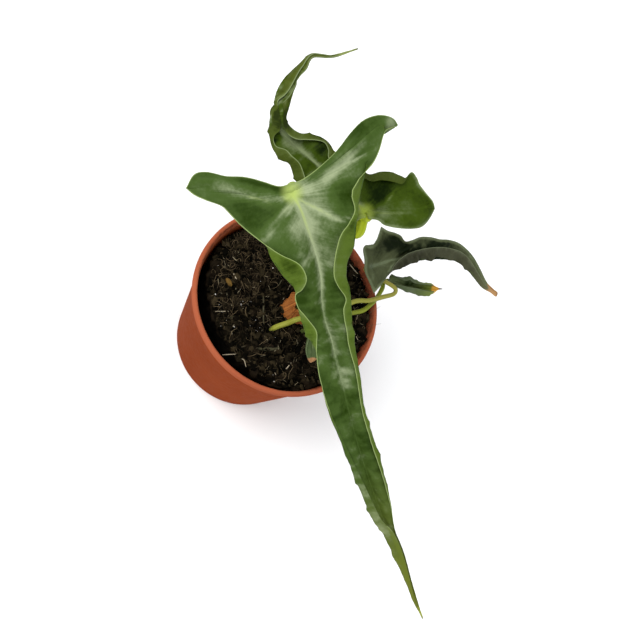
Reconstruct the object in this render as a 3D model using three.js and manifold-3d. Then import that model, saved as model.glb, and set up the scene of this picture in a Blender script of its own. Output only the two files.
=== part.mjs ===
// Potted alocasia: a small nursery pot with peat, a corm and five leaves on their stalks.
// Millimetres, +Z up. The origin is the middle of the flat underside of the pot.

import * as THREE from 'three';
import { mergeVertices } from 'three/addons/utils/BufferGeometryUtils.js';
import Module from 'manifold-3d';

const wasm = await Module();
wasm.setup();

// Driving dimensions of the pot

const POT_HEIGHT = 70;
const LIP_RADIUS = 42.5;
const LIP_DEPTH = 3.2;
const LIP_WIDTH = 2;
const FOOT_RADIUS = 32;
const WALL = 1.2;
const WALL_RADIUS_AT_LIP = 41.6;
const RING_BELOW_LIP = 4.2;
const RING_HEIGHT = 1.4;
const RING_STEP = 0.5;
const FLOOR_THICKNESS = 1.5;
const DRAIN_HOLES = 8;
const DRAIN_HOLE_RADIUS = 4;
const DRAIN_CIRCLE_RADIUS = 22;
const POT_SIDES = 56;

// Driving dimensions of what the pot holds

const GAP = 0.3;
const SOIL_BELOW_LIP = 7;
const SOIL_TOP = POT_HEIGHT - SOIL_BELOW_LIP;
const CREVICE_WIDTH = 5.8;
const CREVICE_DEPTH = 14;
const CREVICE_ANGLE = 250;
const CREVICE_SPREAD = 80;
const BANK_HEIGHT = 5;
const BANK_ANGLE = 38;
const BANK_SPREAD = 85;
const BANK_FADE = 50;
const BANK_START = 20;
const BANK_END = 37;
const CLODS_LOST_PER_MM = 0.12;
const SOIL_RIM_DROP = 0.6;
const CORM_PLACE = [5, 4];
const CORM_RADIUS = 8;
const CORM_BOTTOM = 50;
const CORM_TOP = 70;
const SHEATH_WALL = 1.2;
const SHEATH_FLAPS = [{ angle: 225, rise: 4 }, { angle: 100, rise: 3 }];
const BLADE_THICKNESS = 0.7;

// Splines

const lerp = (a, b, f) => a + (b - a) * f;
const mix = (p, q, f) => p.map((value, i) => lerp(value, q[i], f));
const distance = (p, q) => Math.hypot(...p.map((value, i) => value - q[i]));

// A point of the list, or one past either end in a straight line
function listPoint(list, i) {
  const last = list.length - 1;
  if (i < 0) return mix(list[1], list[0], 2);
  if (i > last) return mix(list[last - 1], list[last], 2);
  return list[i];
}

// Smooth curve through a list of points, one unit of x for each point
function splinePoint(list, x) {
  const last = list.length - 1;
  const clamped = Math.min(Math.max(x, 0), last);
  const i = Math.min(Math.floor(clamped), last - 1);
  const f = clamped - i;
  const [a, b, c, d] = [-1, 0, 1, 2].map((step) => listPoint(list, i + step));
  return a.map((_, k) => 0.5 * (2 * b[k] + (c[k] - a[k]) * f
    + (2 * a[k] - 5 * b[k] + 4 * c[k] - d[k]) * f * f
    + (3 * b[k] - a[k] - 3 * c[k] + d[k]) * f * f * f));
}

// Smooth curve through a few points that may lie close together, t from 0 to 1 along its length
function ribPoint(list, t) {
  const spans = list.slice(1).map((point, i) => distance(point, list[i]));
  const total = spans.reduce((sum, span) => sum + span, 0);
  if (total < 1e-6) return list[0];
  let left = t * total;
  let i = 0;
  while (i < spans.length - 1 && left > spans[i]) {
    left -= spans[i];
    i += 1;
  }
  const f = spans[i] > 1e-9 ? left / spans[i] : 0;
  const p = [-1, 0, 1, 2].map((step) => listPoint(list, i + step));
  const knots = [0];
  for (let k = 1; k < 4; k += 1) {
    knots.push(knots[k - 1] + Math.sqrt(Math.max(distance(p[k], p[k - 1]), 1e-3)));
  }
  const x = lerp(knots[1], knots[2], f);
  const between = (a, b, from, to) => mix(a, b, (x - from) / (to - from));
  const a1 = between(p[0], p[1], knots[0], knots[1]);
  const a2 = between(p[1], p[2], knots[1], knots[2]);
  const a3 = between(p[2], p[3], knots[2], knots[3]);
  const b1 = between(a1, a2, knots[0], knots[2]);
  const b2 = between(a2, a3, knots[1], knots[3]);
  return between(b1, b2, knots[1], knots[2]);
}

// Points between 0 and 1, both ends included
const steps = (count) => Array.from({ length: count + 1 }, (_, i) => i / count);

// A midrib as a curve by its length
function midribOf(points) {
  const samples = steps(400).map((f) => f * (points.length - 1));
  const lengths = [0];
  let before = splinePoint(points, 0);
  for (const x of samples.slice(1)) {
    const here = splinePoint(points, x);
    lengths.push(lengths[lengths.length - 1] + distance(before, here));
    before = here;
  }
  const length = lengths[lengths.length - 1];
  const at = (v) => {
    let i = 1;
    while (i < samples.length - 1 && lengths[i] < v) i += 1;
    const f = (v - lengths[i - 1]) / Math.max(lengths[i] - lengths[i - 1], 1e-9);
    return splinePoint(points, lerp(samples[i - 1], samples[i], Math.min(Math.max(f, 0), 1)));
  };
  return { at, length };
}

// Blades
//
// A blade is given in its own frame: along its axis from the stalk to the tip, across, and up
// from its face. Each half is a fan of side veins, one row for each: how far along the midrib it
// starts, the point where the blade turns over, and the point of its edge. The first row is the
// middle vein of the basal lobe and has a point of its own before these two. The edge of the
// notch runs from behind the stalk to the tip of the lobe.

function bladeFrame({ origin, heading, droop, bank }) {
  const rad = THREE.MathUtils.degToRad;
  const along = new THREE.Vector3(
    Math.cos(rad(heading)) * Math.cos(rad(droop)),
    Math.sin(rad(heading)) * Math.cos(rad(droop)),
    -Math.sin(rad(droop)),
  );
  const across = new THREE.Vector3(-Math.sin(rad(heading)), Math.cos(rad(heading)), 0);
  across.applyAxisAngle(along, rad(bank));
  const up = new THREE.Vector3().crossVectors(along, across);
  return new THREE.Matrix4().makeBasis(along, across, up).setPosition(...origin);
}

const PUFF = 0.08;
const NOTCH_PUFF = 0.12;
const raised = (point, height) => [point[0], point[1], point[2] + height];

// Grid of one half: its rows run from the lobe's vein to the tip, its columns from the midrib out
function halfGrid(rows, midrib, detail) {
  const lengths = rows.map((row) => row[0]);
  const roots = lengths.map((v) => midrib.at(v));
  const folds = rows.map((row) => row[row.length - 2]);
  const edges = rows.map((row) => row[row.length - 1]);
  const middles = rows.map((row, i) => (row.length === 4
    ? row[1]
    : raised(mix(roots[i], folds[i], 0.5), PUFF * distance(roots[i], folds[i]))));
  const fan = lengths.filter((v) => v === 0).length - 1;
  const stations = [];
  for (let i = 0; i < detail.fan; i += 1) stations.push(fan * i / detail.fan);
  for (const share of detail.along) {
    const v = share * midrib.length;
    let i = fan;
    while (i < rows.length - 2 && lengths[i + 1] < v) i += 1;
    stations.push(Math.min(i + (v - lengths[i]) / (lengths[i + 1] - lengths[i]), rows.length - 1));
  }
  return stations.map((s) => {
    const i = Math.min(Math.floor(s), rows.length - 2);
    const root = midrib.at(lerp(lengths[i], lengths[i + 1], s - i));
    const rib = [root, splinePoint(middles, s), splinePoint(folds, s), splinePoint(edges, s)];
    return detail.across.map((t) => ribPoint(rib, t));
  });
}

// Grid between the vein of the lobe and the edge of the notch
function notchGrid(rows, midrib, notch, detail) {
  const [, middle, fold, tip] = rows[0];
  return detail.across.map((t) => {
    const inner = ribPoint([midrib.at(0), middle, fold, tip], t);
    const outer = splinePoint(notch, t * (notch.length - 1));
    const between = raised(mix(inner, outer, 0.5), NOTCH_PUFF * distance(inner, outer));
    return detail.notch.map((u) => ribPoint([inner, between, outer], u));
  });
}

// Triangles of a grid, with the shorter diagonal of each cell
function gridTriangles(grid, flipped) {
  const triangles = [];
  for (let i = 0; i < grid.length - 1; i += 1) {
    for (let j = 0; j < grid[0].length - 1; j += 1) {
      const [a, b, c, d] = [grid[i][j], grid[i + 1][j], grid[i + 1][j + 1], grid[i][j + 1]];
      const halves = distance(a, c) <= distance(b, d) ? [[a, b, c], [a, c, d]] : [[a, b, d], [b, c, d]];
      for (const half of halves) triangles.push(flipped ? [half[0], half[2], half[1]] : half);
    }
  }
  return triangles;
}

// A sheet of triangles with shared corners, as a closed plate of even thickness
function plate(triangles, thickness) {
  const keyOf = (p) => p.map((value) => Math.round(value * 500)).join(' ');
  const index = new Map();
  const points = [];
  const faces = [];
  for (const triangle of triangles) {
    const face = triangle.map((p) => {
      const key = keyOf(p);
      if (!index.has(key)) {
        index.set(key, points.length);
        points.push(new THREE.Vector3(...p));
      }
      return index.get(key);
    });
    if (new Set(face).size === 3) faces.push(face);
  }
  const normals = points.map(() => new THREE.Vector3());
  for (const [a, b, c] of faces) {
    const first = points[b].clone().sub(points[a]);
    const normal = first.cross(points[c].clone().sub(points[a]));
    for (const corner of [a, b, c]) normals[corner].add(normal);
  }
  const count = points.length;
  const positions = [];
  for (const side of [0.5, -0.5]) {
    points.forEach((point, i) => {
      positions.push(...point.clone().addScaledVector(normals[i].normalize(), side * thickness).toArray());
    });
  }
  const used = new Set(faces.flatMap(([a, b, c]) => [`${a} ${b}`, `${b} ${c}`, `${c} ${a}`]));
  const indices = [];
  for (const [a, b, c] of faces) {
    indices.push(a, b, c, a + count, c + count, b + count);
    for (const [from, to] of [[a, b], [b, c], [c, a]]) {
      if (!used.has(`${to} ${from}`)) {
        indices.push(to, from, from + count, to, from + count, to + count);
      }
    }
  }
  const geometry = new THREE.BufferGeometry();
  geometry.setAttribute('position', new THREE.Float32BufferAttribute(positions, 3));
  geometry.setIndex(indices);
  geometry.userData.stalkNormal = normals[index.get(keyOf([0, 0, 0]))];
  return geometry;
}

function bladeGeometry(blade) {
  const midrib = midribOf(blade.midrib);
  const { near, far, nearNotch, farNotch, detail } = blade;
  const triangles = [
    ...gridTriangles(halfGrid(near, midrib, detail), false),
    ...gridTriangles(halfGrid(far, midrib, detail), true),
  ];
  if (nearNotch) triangles.push(...gridTriangles(notchGrid(near, midrib, nearNotch, detail), false));
  if (farNotch) triangles.push(...gridTriangles(notchGrid(far, midrib, farNotch, detail), true));
  const geometry = plate(triangles, BLADE_THICKNESS);
  const frame = bladeFrame(blade);
  const underside = geometry.userData.stalkNormal.clone().transformDirection(frame);
  if (underside.z > 0) underside.negate();
  geometry.applyMatrix4(frame);
  geometry.userData.underside = underside;
  return geometry;
}

// Front leaf: near is the half towards the viewer of the photograph's lower left

const frontBlade = {
  origin: [-29.5, -5, 140],
  heading: -11.5,
  droop: 27,
  bank: 18,
  midrib: [
    [0, 0, 0], [7, 1, 1.5], [15, 1, 3], [23.5, 1, 4], [32.5, 0, 5.5], [41, -2.5, 6.5],
    [49.5, -4, 7.5], [57, -4, 8], [67, -5, 9], [76, -5.5, 9.5], [89, -6.5, 10], [102, -7, 10],
    [116.5, -7, 9.5], [131.5, -6.5, 9], [146, -5.5, 8], [161, -3.5, 6.5], [177, -3, 4],
    [199.5, -1, 0],
  ],
  near: [
    [0, [-2, -11.5, 0.5], [-9, -22, -1.5], [-13.5, -36, -7.5]],
    [0, [-8, -24, -3], [-10.5, -34, -4.5]],
    [0, [-5, -22, -1], [-7.5, -30.5, -1.5]],
    [0, [-2, -18.5, 0], [-3.5, -26, 0]],
    [1, [4, -17, 2], [4.5, -22.5, 3]],
    [3, [11.5, -16.5, 5], [11.5, -18, 6]],
    [7, [18.5, -16.5, 7.5], [18, -13, 9.5]],
    [10, [24, -15.5, 8.5], [23, -8, 13]],
    [16, [29, -13.5, 9.5], [29, -7, 13.5]],
    [23, [31.5, -12.5, 10], [33, -9.5, 12]],
    [30, [34.5, -12, 9.5], [35, -12.5, 10]],
    [37, [38.5, -12.5, 10], [39, -13, 10.5]],
    [44, [43, -13.5, 10.5], [43.5, -11.5, 12]],
    [53, [49, -13.5, 10.5], [50, -9.5, 13]],
    [60, [54.5, -12.5, 10.5], [55, -10.5, 12]],
    [66, [59.5, -11.5, 11], [60, -12, 11.5]],
    [72, [68, -13, 11], [68, -13.5, 11.5]],
    [89, [83, -14.5, 11.5], [83, -14, 12]],
    [104, [97.5, -13.5, 12], [97.5, -12.5, 12.5]],
    [118, [112, -13, 12], [111.5, -11, 13.5]],
    [133, [127.5, -11.5, 10.5], [127, -9, 12.5]],
    [142, [137.5, -10.5, 9.5], [137.5, -7.5, 11.5]],
    [151, [146, -8, 8], [147, -4, 11]],
    [162, [160, -6, 6], [160, -2.5, 8]],
    [179, [177.5, -4, 3.5], [177, -2.5, 5]],
    [191, [189, -3, 2], [189, -2.5, 2.5]],
    [202, [199.5, -1, 0], [199.5, -1, 0]],
  ],
  nearNotch: [
    [-3.5, 0.5, 0.5], [-4, -4, 0], [-7.5, -9, -1.5], [-11, -14.5, -2.5], [-13.5, -21, -4],
    [-17, -27, -5.5], [-17.5, -31.5, -6.5], [-13.5, -36, -7.5],
  ],
  far: [
    [0, [-1, 10.5, 1], [-5.5, 24, 1.5], [-9, 48.5, -5]],
    [0, [-12, 41, -1], [-9.5, 41.5, 0]],
    [0, [-6.5, 37, 0], [-4, 36.5, 2]],
    [0, [-1, 31.5, 2], [0, 32, 3]],
    [1, [3.5, 28, 3.5], [3, 24, 6]],
    [2, [8.5, 24, 5], [6.5, 20, 7.5]],
    [5, [13.5, 21, 6.5], [12.5, 19.5, 7.5]],
    [8, [18.5, 18.5, 8], [16, 15.5, 9.5]],
    [13, [23, 16.5, 8.5], [18.5, 10.5, 12]],
    [19, [27, 14, 9], [23, 7, 13]],
    [25, [30.5, 10.5, 9.5], [28, 4.5, 13]],
    [32, [35, 8.5, 10.5], [32.5, 3, 13.5]],
    [38, [39.5, 8.5, 10.5], [36.5, 3.5, 13]],
    [43, [44, 7.5, 11], [42.5, 5, 12.5]],
    [49, [49, 6, 11.5], [46.5, 2.5, 13.5]],
    [55, [56, 4.5, 11.5], [54, 1.5, 13.5]],
    [60, [62, 3.5, 11.5], [61, 0.5, 13.5]],
    [72, [73, 2, 12.5], [71.5, 0, 14]],
    [89, [89, -0.5, 12.5], [87.5, -2, 13.5]],
    [104, [103.5, -0.5, 12.5], [102.5, -2.5, 14]],
    [118, [119, -0.5, 11.5], [118, -2, 13]],
    [133, [133, -1.5, 10.5], [133, -2, 11]],
    [142, [141, -2.5, 9], [141.5, -2.5, 9.5]],
    [151, [149, -3, 7], [149, -2.5, 7.5]],
    [162, [160.5, -2, 5.5], [161, -1.5, 6]],
    [179, [178.5, -2, 3], [178.5, -1.5, 3.5]],
    [202, [199.5, -1, 0], [199.5, -1, 0]],
  ],
  farNotch: [
    [-3.5, 0.5, 0.5], [-3.5, 5.5, 0.5], [-5.5, 13, 0], [-9, 21.5, -0.5], [-13.5, 29, -1.5],
    [-16, 35.5, -2.5], [-15.5, 42, -3.5], [-12.5, 47, -4.5], [-9, 48.5, -5],
  ],
  detail: {
    fan: 6,
    along: [0, 0.02, 0.04, 0.065, 0.09, 0.115, 0.14, 0.165, 0.19, 0.215, 0.24, 0.27, 0.3, 0.335,
      0.37, 0.42, 0.48, 0.54, 0.6, 0.66, 0.71, 0.76, 0.82, 0.88, 0.94, 1],
    across: [0, 0.2, 0.4, 0.56, 0.7, 0.85, 1],
    notch: [0, 0.33, 0.67, 1],
  },
};

// Back leaf: the midrib runs away to the left, pinches and ends in a rolled, thread-like tip

const backBlade = {
  origin: [-6.5, 23, 126],
  heading: 172,
  droop: 4,
  bank: -10,
  midrib: [
    [0, 0, 0], [7, 2, 1.5], [15, 4, 3], [24, 6, 4], [32.5, 8.5, 5], [40, 10.5, 5.5],
    [47, 11.5, 6], [52.5, 9.5, 5], [55, 5.5, 4], [58.5, -1, 2], [63, -9, -1], [66.5, -18, -4.5],
    [69, -25.5, -7.5], [65.5, -34, -11], [64.5, -41, -13], [64, -48, -15],
  ],
  near: [
    [0, [0.5, 4.5, 0.5], [0, 10, -4], [-1.5, 15.5, -12]],
    [0, [2.5, 10.5, -1.5], [2.5, 14.5, -6]],
    [0, [4.5, 11, 0], [5.5, 15, -2]],
    [8.5, [9, 14, 2.5], [9.5, 15.5, 3]],
    [16, [16, 16.5, 5], [16.5, 15.5, 6.5]],
    [24, [22.5, 18.5, 7], [21, 16, 9]],
    [29.5, [27.5, 18, 7.5], [25, 15, 10]],
    [33.5, [31, 17.5, 8], [28.5, 14.5, 10.5]],
    [37, [33.5, 19, 8], [32.5, 15.5, 11]],
    [40.5, [38, 19.5, 8.5], [35.5, 16, 11]],
    [44, [41.5, 18.5, 8], [38.5, 18, 10]],
    [47, [44, 17.5, 8.5], [41.5, 17.5, 10]],
    [50, [46.5, 16, 8], [43, 15.5, 10]],
    [53, [49.5, 13.5, 7], [43.5, 13, 10]],
    [56.5, [52, 10.5, 6], [47, 10, 9]],
    [60, [54.5, 7, 5], [51.5, 7, 6.5]],
    [63.5, [57, 5, 3.5], [55.5, 4.5, 5]],
    [67.5, [60, 1.5, 2], [56.5, 0, 4.5]],
    [72.5, [63, -3.5, 0.5], [58.5, -4.5, 3]],
    [79, [65, -8.5, -1.5], [62, -10.5, 1]],
    [86.5, [67.5, -16.5, -4.5], [65.5, -17, -3]],
    [96, [70, -25.5, -8], [69, -25.5, -7]],
    [105.5, [66.5, -34, -11], [66.5, -34, -10.5]],
    [120.5, [64, -48, -15], [64, -48, -15]],
  ],
  nearNotch: [
    [-2, 1, 0], [-1, 3.5, -0.5], [-1.5, 7, -2.5], [-2.5, 11.5, -7], [-1.5, 15.5, -12],
  ],
  far: [
    [0, [-2.5, -4, 1.5], [-8.5, -14, 0.5], [-13.5, -27.5, -4]],
    [0, [-11, -26, -3], [-11, -27.5, -1.5]],
    [0, [-6.5, -24.5, -2], [-6.5, -26.5, 0]],
    [0, [-2.5, -23.5, -1], [-2.5, -26, 1]],
    [0, [0, -23, 0], [0, -26, 2.5]],
    [0, [2, -22, 1], [3, -25, 3.5]],
    [0, [3.5, -21.5, 2], [1, -19, 4]],
    [0, [5.5, -20, 2.5], [2.5, -16.5, 4.5]],
    [1.5, [8, -17.5, 3.5], [4.5, -14, 5.5]],
    [4, [10, -14, 4], [6.5, -10.5, 6.5]],
    [7.5, [10.5, -11, 4.5], [8, -7, 7]],
    [11, [12, -8, 5], [10.5, -5.5, 7]],
    [15.5, [16.5, -5, 6], [15.5, -3, 7.5]],
    [20, [21.5, -2.5, 6.5], [20.5, -0.5, 8]],
    [25.5, [25, -1.5, 7], [24, 3, 9.5]],
    [28.5, [28, -2, 7.5], [27, 1, 9]],
    [32, [31, -1.5, 8], [30, 0.5, 9.5]],
    [35, [34.5, 0, 7.5], [32.5, 2.5, 9.5]],
    [38.5, [37, 3.5, 8], [35, 6, 9.5]],
    [42, [39.5, 6, 8], [37, 9.5, 10]],
    [45.5, [43.5, 7.5, 8], [40, 11, 10]],
    [49, [46, 7.5, 7.5], [43, 11, 10]],
    [53, [48.5, 5.5, 7], [46.5, 9, 9]],
    [58, [51, 2, 5], [50.5, 5.5, 7]],
    [62.5, [53.5, -1, 3.5], [53.5, 3.5, 6]],
    [66.5, [56.5, -4.5, 2.5], [55, -0.5, 4.5]],
    [71.5, [59, -8, 0.5], [57.5, -5.5, 2.5]],
    [77, [61.5, -11, -1], [61, -10.5, -0.5]],
    [86.5, [64, -18, -4], [64, -17.5, -3.5]],
    [96, [67.5, -25.5, -8], [68, -25, -7.5]],
    [105.5, [64.5, -33.5, -11], [64.5, -33.5, -10.5]],
    [120.5, [64, -48, -15], [64, -48, -15]],
  ],
  farNotch: [
    [-3, 0.5, 0], [-5.5, -2.5, 0], [-8.5, -3.5, 0], [-12, -7.5, -1], [-15.5, -13, -2],
    [-17, -18, -3], [-15.5, -23.5, -3.5], [-13.5, -27.5, -4],
  ],
  detail: {
    fan: 10,
    along: [0, 0.05, 0.1, 0.15, 0.2, 0.24, 0.28, 0.31, 0.34, 0.37, 0.4, 0.43, 0.465, 0.5, 0.54, 0.58,
      0.62, 0.66, 0.71, 0.77, 0.82, 0.88, 0.94, 1],
    across: [0, 0.2, 0.4, 0.6, 0.8, 1],
    notch: [0, 0.33, 0.67, 1],
  },
};

// Side leaf: folded like a trough, with a dry tip

const sideBlade = {
  origin: [12.5, 34, 84],
  heading: 38,
  droop: 14,
  bank: 0,
  midrib: [
    [0, 0, 0], [4, 2.5, 1.5], [8, 5, 3], [12.5, 7.5, 4], [18, 10, 5.5], [26, 14, 6.5],
    [33.5, 17, 7], [41.5, 19, 7], [49, 18, 6], [56.5, 15, 5], [64.5, 12, 2.5], [71.5, 12.5, 0.5],
    [75.5, 11.5, 0],
  ],
  near: [
    [0, [2, -3.5, 1], [4, -7, 0.5], [4, -11, -1]],
    [0, [5.5, -6, -0.5], [7, -6, 0]],
    [2, [9.5, -1, 0.5], [9.5, 0.5, 2]],
    [5.5, [11.5, 2, 2], [10, 3.5, 4]],
    [9, [15.5, 4.5, 3.5], [11, 6, 6]],
    [14.5, [19.5, 7.5, 4.5], [13, 8.5, 8]],
    [21, [23.5, 10, 5.5], [16.5, 11, 9]],
    [28.5, [28, 11.5, 6.5], [22, 14, 10]],
    [35.5, [34, 13.5, 7], [29, 17, 10.5]],
    [42, [40, 15.5, 6.5], [36, 19, 10]],
    [48, [45.5, 15.5, 6.5], [42.5, 19.5, 10]],
    [54.5, [50.5, 14.5, 5.5], [49, 18, 9]],
    [62, [56, 12.5, 4.5], [56.5, 14.5, 7]],
    [71.5, [64, 11, 2], [64.5, 12, 4]],
    [78.5, [71, 11.5, 0.5], [71.5, 12, 1.5]],
    [83, [75.5, 11.5, 0], [75.5, 11.5, 0]],
  ],
  nearNotch: [
    [-3, -1, -0.5], [-2, -3, -1], [0, -5, -1.5], [2, -7.5, -1.5], [4, -11, -1],
  ],
  far: [
    [0, [0.5, 5.5, 0.5], [2.5, 13, 0.5], [3.5, 21, -0.5]],
    [0, [5, 16, 0], [5.5, 19, 2]],
    [2, [8.5, 15.5, 2], [8, 18, 4.5]],
    [5.5, [10.5, 15, 4], [10, 17, 6]],
    [9, [14, 14, 5.5], [12.5, 15, 6.5]],
    [14.5, [16, 15, 7], [15, 16, 8]],
    [21, [19.5, 17, 8.5], [18, 18, 10]],
    [28.5, [24.5, 18.5, 9.5], [23, 19.5, 11]],
    [35.5, [30, 19.5, 10], [28.5, 20.5, 11]],
    [42, [36, 21.5, 9.5], [34.5, 22.5, 10.5]],
    [48, [43, 22.5, 8.5], [42, 23.5, 9.5]],
    [54.5, [51.5, 21.5, 6.5], [51, 22, 7.5]],
    [62, [58, 17.5, 5], [58, 18, 6]],
    [71.5, [65.5, 14, 2.5], [65.5, 14.5, 3]],
    [78.5, [71.5, 13.5, 0.5], [71.5, 13.5, 1]],
    [83, [75.5, 11.5, 0], [75.5, 11.5, 0]],
  ],
  farNotch: [
    [-3, -1, -0.5], [-3.5, 2.5, -0.5], [-4.5, 7, -1], [-4, 9, 0], [-1.5, 9, 0.5], [1.5, 13.5, 0],
    [3.5, 21, -0.5],
  ],
  detail: {
    fan: 3,
    along: [0, 0.05, 0.1, 0.16, 0.23, 0.3, 0.38, 0.46, 0.54, 0.62, 0.7, 0.78, 0.86, 0.93, 1],
    across: [0, 0.25, 0.5, 0.75, 1],
    notch: [0, 0.5, 1],
  },
};

// Curled leaf: a small roll with a fine awn

const curledBlade = {
  origin: [22.5, 41, 76],
  heading: 44,
  droop: 8,
  bank: 0,
  midrib: [
    [0, 0, 0], [3.5, -0.5, 0.5], [8, -1, 0.5], [12.5, -1, 0.5], [18, -0.5, 0.5], [23, 0, 0.5],
    [27, 1, 0.5], [30, 2, 0],
  ],
  near: [
    [0, [0.5, -1.5, 0.5], [1.5, -1.5, 1.5]],
    [4, [4.5, -3, 1.5], [4.5, -2, 3]],
    [8.5, [9, -4, 2], [8.5, -2.5, 4]],
    [13, [14, -4.5, 2], [12.5, -2.5, 4.5]],
    [18.5, [19.5, -4, 2], [17.5, -2.5, 4.5]],
    [23.5, [23.5, -2, 1.5], [22.5, -1.5, 3]],
    [27, [26.5, 0.5, 1], [26.5, 0.5, 1.5]],
    [31, [30, 2, 0], [30, 2, 0]],
  ],
  far: [
    [0, [0.5, 2, 0.5], [1, 3, 1.5]],
    [4, [3.5, 2, 2], [3.5, 1, 3.5]],
    [8.5, [7, 2, 3], [6.5, 0, 4.5]],
    [11, [9.5, 3, 3.5], [8.5, 0.5, 5]],
    [13, [12, 2, 3.5], [11, -0.5, 5]],
    [18.5, [17, 1.5, 3], [16, 0, 4.5]],
    [23.5, [22, 2.5, 2], [21.5, 1, 3.5]],
    [27, [26, 1.5, 1], [26, 1.5, 1.5]],
    [31, [30, 2, 0], [30, 2, 0]],
  ],
  detail: {
    fan: 0,
    along: [0, 0.12, 0.24, 0.36, 0.48, 0.6, 0.72, 0.82, 0.9, 1],
    across: [0, 0.3, 0.55, 0.78, 1],
  },
};

// Young leaf: a small scoop under the margin of the front leaf

const youngBlade = {
  origin: [17.5, -4.5, 76],
  heading: -39,
  droop: 20,
  bank: 0,
  midrib: [[0, 0, 0], [3, 0, 0.5], [6.5, 0, 0.5], [10, 0, 0], [13, 0, -1]],
  near: [
    [0, [0, -1.5, 0.5], [0, -2, 1.5]],
    [3, [3, -3, 1.5], [3, -3, 3]],
    [7, [7, -3.5, 1.5], [7, -3.5, 2.5]],
    [11, [11, -2, 0.5], [11, -2, 1]],
    [13.5, [13, 0, -1], [13, 0, -1]],
  ],
  far: [
    [0, [0, 1.5, 0.5], [0, 2, 1.5]],
    [3, [3, 3, 1.5], [3, 3, 3]],
    [7, [7, 3.5, 1.5], [7, 3, 3]],
    [11, [11, 2, 0.5], [11, 2, 1]],
    [13.5, [13, 0, -1], [13, 0, -1]],
  ],
  detail: {
    fan: 0,
    along: [0, 0.2, 0.4, 0.6, 0.8, 1],
    across: [0, 0.35, 0.7, 1],
  },
};

// Stalks: the top of what each one stands in, the radii of its ends, and the points that it
// passes, from its foot up. Its last point comes from the blade.

const stalks = {
  front: {
    blade: frontBlade,
    ground: CORM_TOP,
    foot: 2.3,
    top: 1.8,
    path: [[5, 3, 58], [4.5, 4, 80], [-3, 6.5, 98], [-16, 6.5, 116], [-27, 4, 129], [-31.5, 1, 134]],
  },
  back: {
    blade: backBlade,
    ground: CORM_TOP,
    foot: 2,
    top: 2.1,
    path: [[3, 8.5, 58], [3, 10.5, 80], [0.5, 15, 100], [-4, 18.5, 113], [-2.6, 18.1, 121]],
  },
  side: {
    blade: sideBlade,
    ground: SOIL_TOP,
    foot: 1.1,
    top: 1.1,
    path: [[5, -12, 56], [5, -11.9, 60], [5.5, -10.3, 64.2], [7.5, -6.3, 67.8], [9.4, -2.6, 71.6],
      [16, 10, 72.5], [19.5, 22, 74], [23.5, 27.5, 75], [26.5, 33.5, 76.5], [28.5, 37.5, 78],
      [27.5, 39, 79.5], [24.5, 38, 80.5], [19.5, 36, 80], [14.5, 34, 79.5]],
  },
  curled: {
    blade: curledBlade,
    ground: SOIL_TOP,
    foot: 1.1,
    top: 1,
    path: [[17, 12, 56], [18, 12.5, 63], [19.5, 14, 67.5], [22, 18, 70.5], [25, 23.5, 71.5],
      [25.5, 29, 71.5], [25, 34, 71.5], [23.5, 38, 73]],
  },
  young: {
    blade: youngBlade,
    ground: SOIL_TOP,
    foot: 1,
    top: 0.9,
    path: [[14, -1, 56], [14.5, -1.5, 64], [15.5, -2.5, 71]],
  },
};

const STALK_SIDES = 10;
const HOLE_ABOVE_GROUND = 7;

// A closed tube of round section along a curve, thinner or thicker towards its end
function tube(curve, startRadius, endRadius, rings) {
  const frames = curve.computeFrenetFrames(rings, false);
  const positions = [];
  const indices = [];
  for (let i = 0; i <= rings; i += 1) {
    const centre = curve.getPointAt(i / rings);
    const radius = lerp(startRadius, endRadius, i / rings);
    for (let k = 0; k < STALK_SIDES; k += 1) {
      const angle = 2 * Math.PI * k / STALK_SIDES;
      positions.push(...centre.clone()
        .addScaledVector(frames.normals[i], radius * Math.cos(angle))
        .addScaledVector(frames.binormals[i], radius * Math.sin(angle)).toArray());
    }
  }
  const corner = (i, k) => i * STALK_SIDES + (k % STALK_SIDES);
  for (let i = 0; i < rings; i += 1) {
    for (let k = 0; k < STALK_SIDES; k += 1) {
      indices.push(corner(i, k), corner(i, k + 1), corner(i + 1, k + 1));
      indices.push(corner(i, k), corner(i + 1, k + 1), corner(i + 1, k));
    }
  }
  for (let k = 1; k < STALK_SIDES - 1; k += 1) {
    indices.push(corner(0, 0), corner(0, k + 1), corner(0, k));
    indices.push(corner(rings, 0), corner(rings, k), corner(rings, k + 1));
  }
  const geometry = new THREE.BufferGeometry();
  geometry.setAttribute('position', new THREE.Float32BufferAttribute(positions, 3));
  geometry.setIndex(indices);
  return geometry;
}

// The stalk meets the blade squarely from below, a small gap short of it
function stalkCurve({ blade, path }, underside) {
  const seat = new THREE.Vector3(...blade.origin);
  const end = seat.clone().addScaledVector(underside, BLADE_THICKNESS / 2 + GAP);
  const before = seat.clone().addScaledVector(underside, BLADE_THICKNESS / 2 + GAP + 3);
  const points = path.map((point) => new THREE.Vector3(...point));
  return new THREE.CatmullRomCurve3([...points, before, end], false, 'centripetal');
}

// Solids

function solidOf(geometry) {
  const bare = geometry.clone();
  bare.deleteAttribute('normal');
  bare.deleteAttribute('uv');
  const merged = mergeVertices(bare, 1e-4);
  return new wasm.Manifold(new wasm.Mesh({
    numProp: 3,
    vertProperties: new Float32Array(merged.attributes.position.array),
    triVerts: new Uint32Array(merged.index.array),
  }));
}

function geometryOf(solid) {
  const { vertProperties, triVerts } = solid.getMesh();
  const geometry = new THREE.BufferGeometry();
  geometry.setAttribute('position', new THREE.BufferAttribute(vertProperties, 3));
  geometry.setIndex(new THREE.BufferAttribute(triVerts, 1));
  return geometry;
}

function turned(profile, sides) {
  const geometry = new THREE.LatheGeometry(profile.map(([r, z]) => new THREE.Vector2(r, z)), sides);
  geometry.rotateX(Math.PI / 2);
  return geometry;
}

// Pot

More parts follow.
